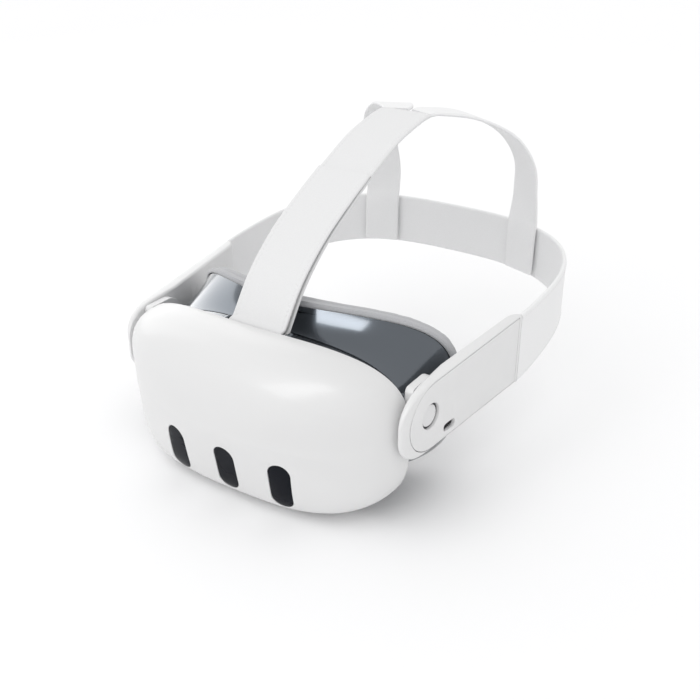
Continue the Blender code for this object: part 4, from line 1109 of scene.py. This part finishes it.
def band_path(count=120):
    points = []
    for i in range(count + 1):
        turn = math.pi * i / count
        turn -= 0.09 * math.sin(4 * turn)
        x = BAND_HALF_WIDTH * power(math.cos(turn), 2 / BAND_CORNER)
        points.append(Vector((x, BAND_CENTRE_Y + BAND_DEPTH * abs(math.sin(turn)) ** (2 / BAND_CORNER), 0)))
    ends = ((1.2, BAND_START), (0.75, 111 * MM), (0.3, 117 * MM), (0.1, 123 * MM))
    start = [Vector((BAND_HALF_WIDTH - inset * MM, y, 0)) for inset, y in ends]
    return start + points + [Vector((-point.x, point.y, 0)) for point in reversed(start)]


def band_section(along, point, thick):
    out = Vector((along.y, -along.x, 0)).normalized()
    low, high = band_bottom(point.y), arm_top(point.y)
    middle, half = (low + high) / 2, (high - low) / 2
    return [Vector((point.x, point.y, middle + a)) + out * b for a, b in strap_section(half, thick / 2)]


def make_band():
    path = band_path()
    rings, lines = [], {"upper": [], "lower": []}
    outs = []
    for i, point in enumerate(path):
        along = direction(path, i)
        rings.append(band_section(along, point, BAND_THICK))
        out = Vector((along.y, -along.x, 0)).normalized()
        outs.append(out)
        upper, lower = arm_top(point.y) - BAND_SEAM_INSET, band_bottom(point.y) + BAND_SEAM_INSET
        for name, z in (("upper", upper), ("lower", lower)):
            lines[name].append(Vector((point.x, point.y, z)) + out * (FLAT_SHARE * BAND_THICK / 2))
    band = new_object("rear_band_webbing", loft(rings), WEB_BAND, 60)
    finish_piece(band, "head_strap", "strap_fabric", "rear_band")
    for name, line in lines.items():
        seam = stitches("band_stitches_" + name, line, outs)
        finish_piece(seam, "head_strap", "strap_fabric")


def scaled(points, side=1):
    return [Vector((side * x * MM, y * MM, z * MM)) for x, y, z in points]


def offset_path(path, first, last):
    """The path moved off along its normal, by a distance that changes from its first point to its last."""
    moved = []
    for i, point in enumerate(path):
        along = direction(path, i)
        share = i / (len(path) - 1)
        moved.append(point + Vector((0, -along.z, along.y)) * (first + (last - first) * share))
    return moved


def edge_lines(path, across, half_widths, inset, lift):
    """Lines along both edges of a strap's outer face, with the normals there."""
    normals, lines = [], ([], [])
    for i, point in enumerate(path):
        along = direction(path, i)
        side = (across[i] - along * across[i].dot(along)).normalized()
        out = side.cross(along).normalized()
        if out.z < -0.2:
            out = -out
        normals.append(out)
        for line, sign in zip(lines, (1, -1)):
            line.append(point + side * sign * (half_widths[i] - inset) + out * lift)
    return lines, normals


def make_top_strap():
    """One length of webbing, doubled: it comes down from the crown, round the anchor bar and back up."""
    width = Vector((1, 0, 0))
    path = smooth_path(scaled(STRAP_LINE), 12)
    layer = 1.75 * MM
    outer, inner = offset_path(path, 1.3 * MM, 1.05 * MM), offset_path(path, -3.4 * MM, -1.1 * MM)
    bar = Vector((0, -2.6 * MM, 96.6 * MM))
    reach = 2.45 * MM
    whole = list(reversed(outer)) + [bar + Vector((0, -reach * 0.8, reach * 0.8))]
    for degrees in (180, 205, 230, 255, 280, 305, 330):
        turn = math.radians(degrees)
        whole.append(bar + Vector((0, reach * math.cos(turn), reach * math.sin(turn))))
    whole += inner
    bm = strap(whole, [width] * len(whole), [STRAP_HALF_WIDTH] * len(whole), layer)
    piece = new_object("top_strap_doubled", bm, WEB_STRAP, 60)
    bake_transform(piece)
    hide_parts("top_strap_front")
    widths = [STRAP_HALF_WIDTH] * len(outer)
    lines, normals = edge_lines(outer, [width] * len(outer), widths, SEAM_INSET, 0.9 * layer / 2)
    for name, line in zip(("left", "right"), lines):
        seam = stitches("top_strap_stitches_" + name, line, normals)
        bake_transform(seam)


def make_crown():
    width = Vector((1, 0, 0))
    path = smooth_path(scaled(CROWN_LINE), 10)
    widths = [STRAP_HALF_WIDTH] * len(path)
    crown = new_object("crown_webbing", strap(path, [width] * len(path), widths, STRAP_THICK), WEB_STRAP, 60)
    finish_piece(crown, "head_strap", "strap_fabric", "top_strap_crown")
    lines, normals = edge_lines(path, [width] * len(path), widths, SEAM_INSET, FLAT_SHARE * STRAP_THICK / 2)
    for name, line in zip(("left", "right"), lines):
        finish_piece(stitches("crown_stitches_" + name, line, normals), "head_strap", "strap_fabric")


def make_legs():
    steps = 9
    for side, name in SIDES:
        path = smooth_path(scaled(LEG_LINE, side), steps)
        across, widths = [], []
        for i in range(len(path)):
            share = i / (len(path) - 1)
            slant = 0.5 * math.sin(math.pi * min(1, 1.25 * share)) + 0.36 * share
            across.append(Vector((side, -slant, 0)).normalized())
            grown = min(1, i / (2 * steps))
            widths.append((STRAP_HALF_WIDTH / 2 - GAP) * (1 - grown) + LEG_HALF_WIDTH * grown)
        leg = new_object("leg_webbing_" + name, strap(path, across, widths, STRAP_THICK), WEB_LEGS, 60)
        finish_piece(leg, "head_strap", "strap_fabric", "strap_leg_" + name)


# The room


def make_stage():
    bm = bmesh.new()
    bmesh.ops.create_grid(bm, x_segments=2, y_segments=2, size=20)
    s = Surface("pale_floor", (0.93, 0.93, 0.935), 0.7)
    s.vary_roughness(s.noise(3), 0.65, 0.75)
    obj = new_object("floor", bm, s.material)
    world = bpy.data.worlds.new("studio")
    world.use_nodes = True
    background = world.node_tree.nodes["Background"]
    socket(background, "Color", (1, 1, 1, 1))
    socket(background, "Strength", 0.9)
    bpy.context.scene.world = world


def turn_to(obj, quaternion):
    obj.rotation_mode = "QUATERNION"
    obj.rotation_quaternion = quaternion


def softbox(name, place, target, width, height, energy, roll=0.0):
    """A panel that shows only in reflections, turned by roll degrees about the line to its target."""
    light = bpy.data.lights.new(name, "AREA")
    light.shape = "RECTANGLE"
    light.size, light.size_y = width, height
    light.energy = energy
    obj = add_to_scene(name, light)
    obj.location = place
    aim = (Vector(target) - Vector(place)).to_track_quat("-Z", "Y")
    turn_to(obj, aim @ Quaternion((0, 0, 1), math.radians(roll)))
    obj.visible_diffuse = False
    obj.visible_camera = False


def sun(name, direction, strength, angle):
    light = bpy.data.lights.new(name, "SUN")
    light.energy = strength
    light.angle = math.radians(angle)
    obj = add_to_scene(name, light)
    obj.visible_glossy = False
    turn_to(obj, Vector(direction).to_track_quat("Z", "Y"))


def make_lights():
    sun("key", (-0.15, -0.6, 0.8), 0.75, 70)
    softbox("front_softbox", (-0.036, -1.024, 0.69), (0.035, 0.024, 0.098), 0.385, 1.3, 8.4, -35)
    softbox("side_softbox", (-1.05, 0.3, 0.64), (-0.05, 0.02, 0.09), 1.5, 1.2, 9)


def make_camera():
    camera = bpy.data.cameras.new("camera")
    camera.lens, camera.sensor_width = 50, 36
    camera.clip_start, camera.clip_end = 0.01, 20
    obj = add_to_scene("camera", camera)
    obj.location = (0.2999, -0.3734, 0.3318)
    azimuth, elevation = math.radians(32.9), math.radians(27.66)
    level = math.cos(elevation)
    forward = Vector((-math.sin(azimuth) * level, math.cos(azimuth) * level, -math.sin(elevation)))
    turn_to(obj, forward.to_track_quat("-Z", "Y"))
    bpy.context.scene.camera = obj


def dress_nodes():
    """Gives each CAD node a procedural material, and a fine bevel to a few that stay in view."""
    slots = {part["node"]: part["material_slot"] for part in frame["record"]["subparts"]}
    for name, obj in NODES.items():
        obj.data.materials.clear()
        obj.data.materials.append(BY_SLOT[slots[name]])
        if name in ("ipd_wheel", "usb_port", "audio_jack", "strap_anchor", "proximity_sensor"):
            bevel(obj, 0.15 * MM, 2, 30)


bpy.context.scene.view_settings.view_transform = "Standard"
make_camera()
make_stage()
make_lights()
dress_nodes()
make_shell()
make_windows()
make_housing()
make_interface()
make_cushion()
make_hem()
make_nose_flap()
make_lenses()
for arm_side, arm_name in SIDES:
    make_arm(arm_side, arm_name)
    make_hinge_mount(arm_side, arm_name)
make_buttons()
make_band()
make_top_strap()
make_crown()
make_legs()
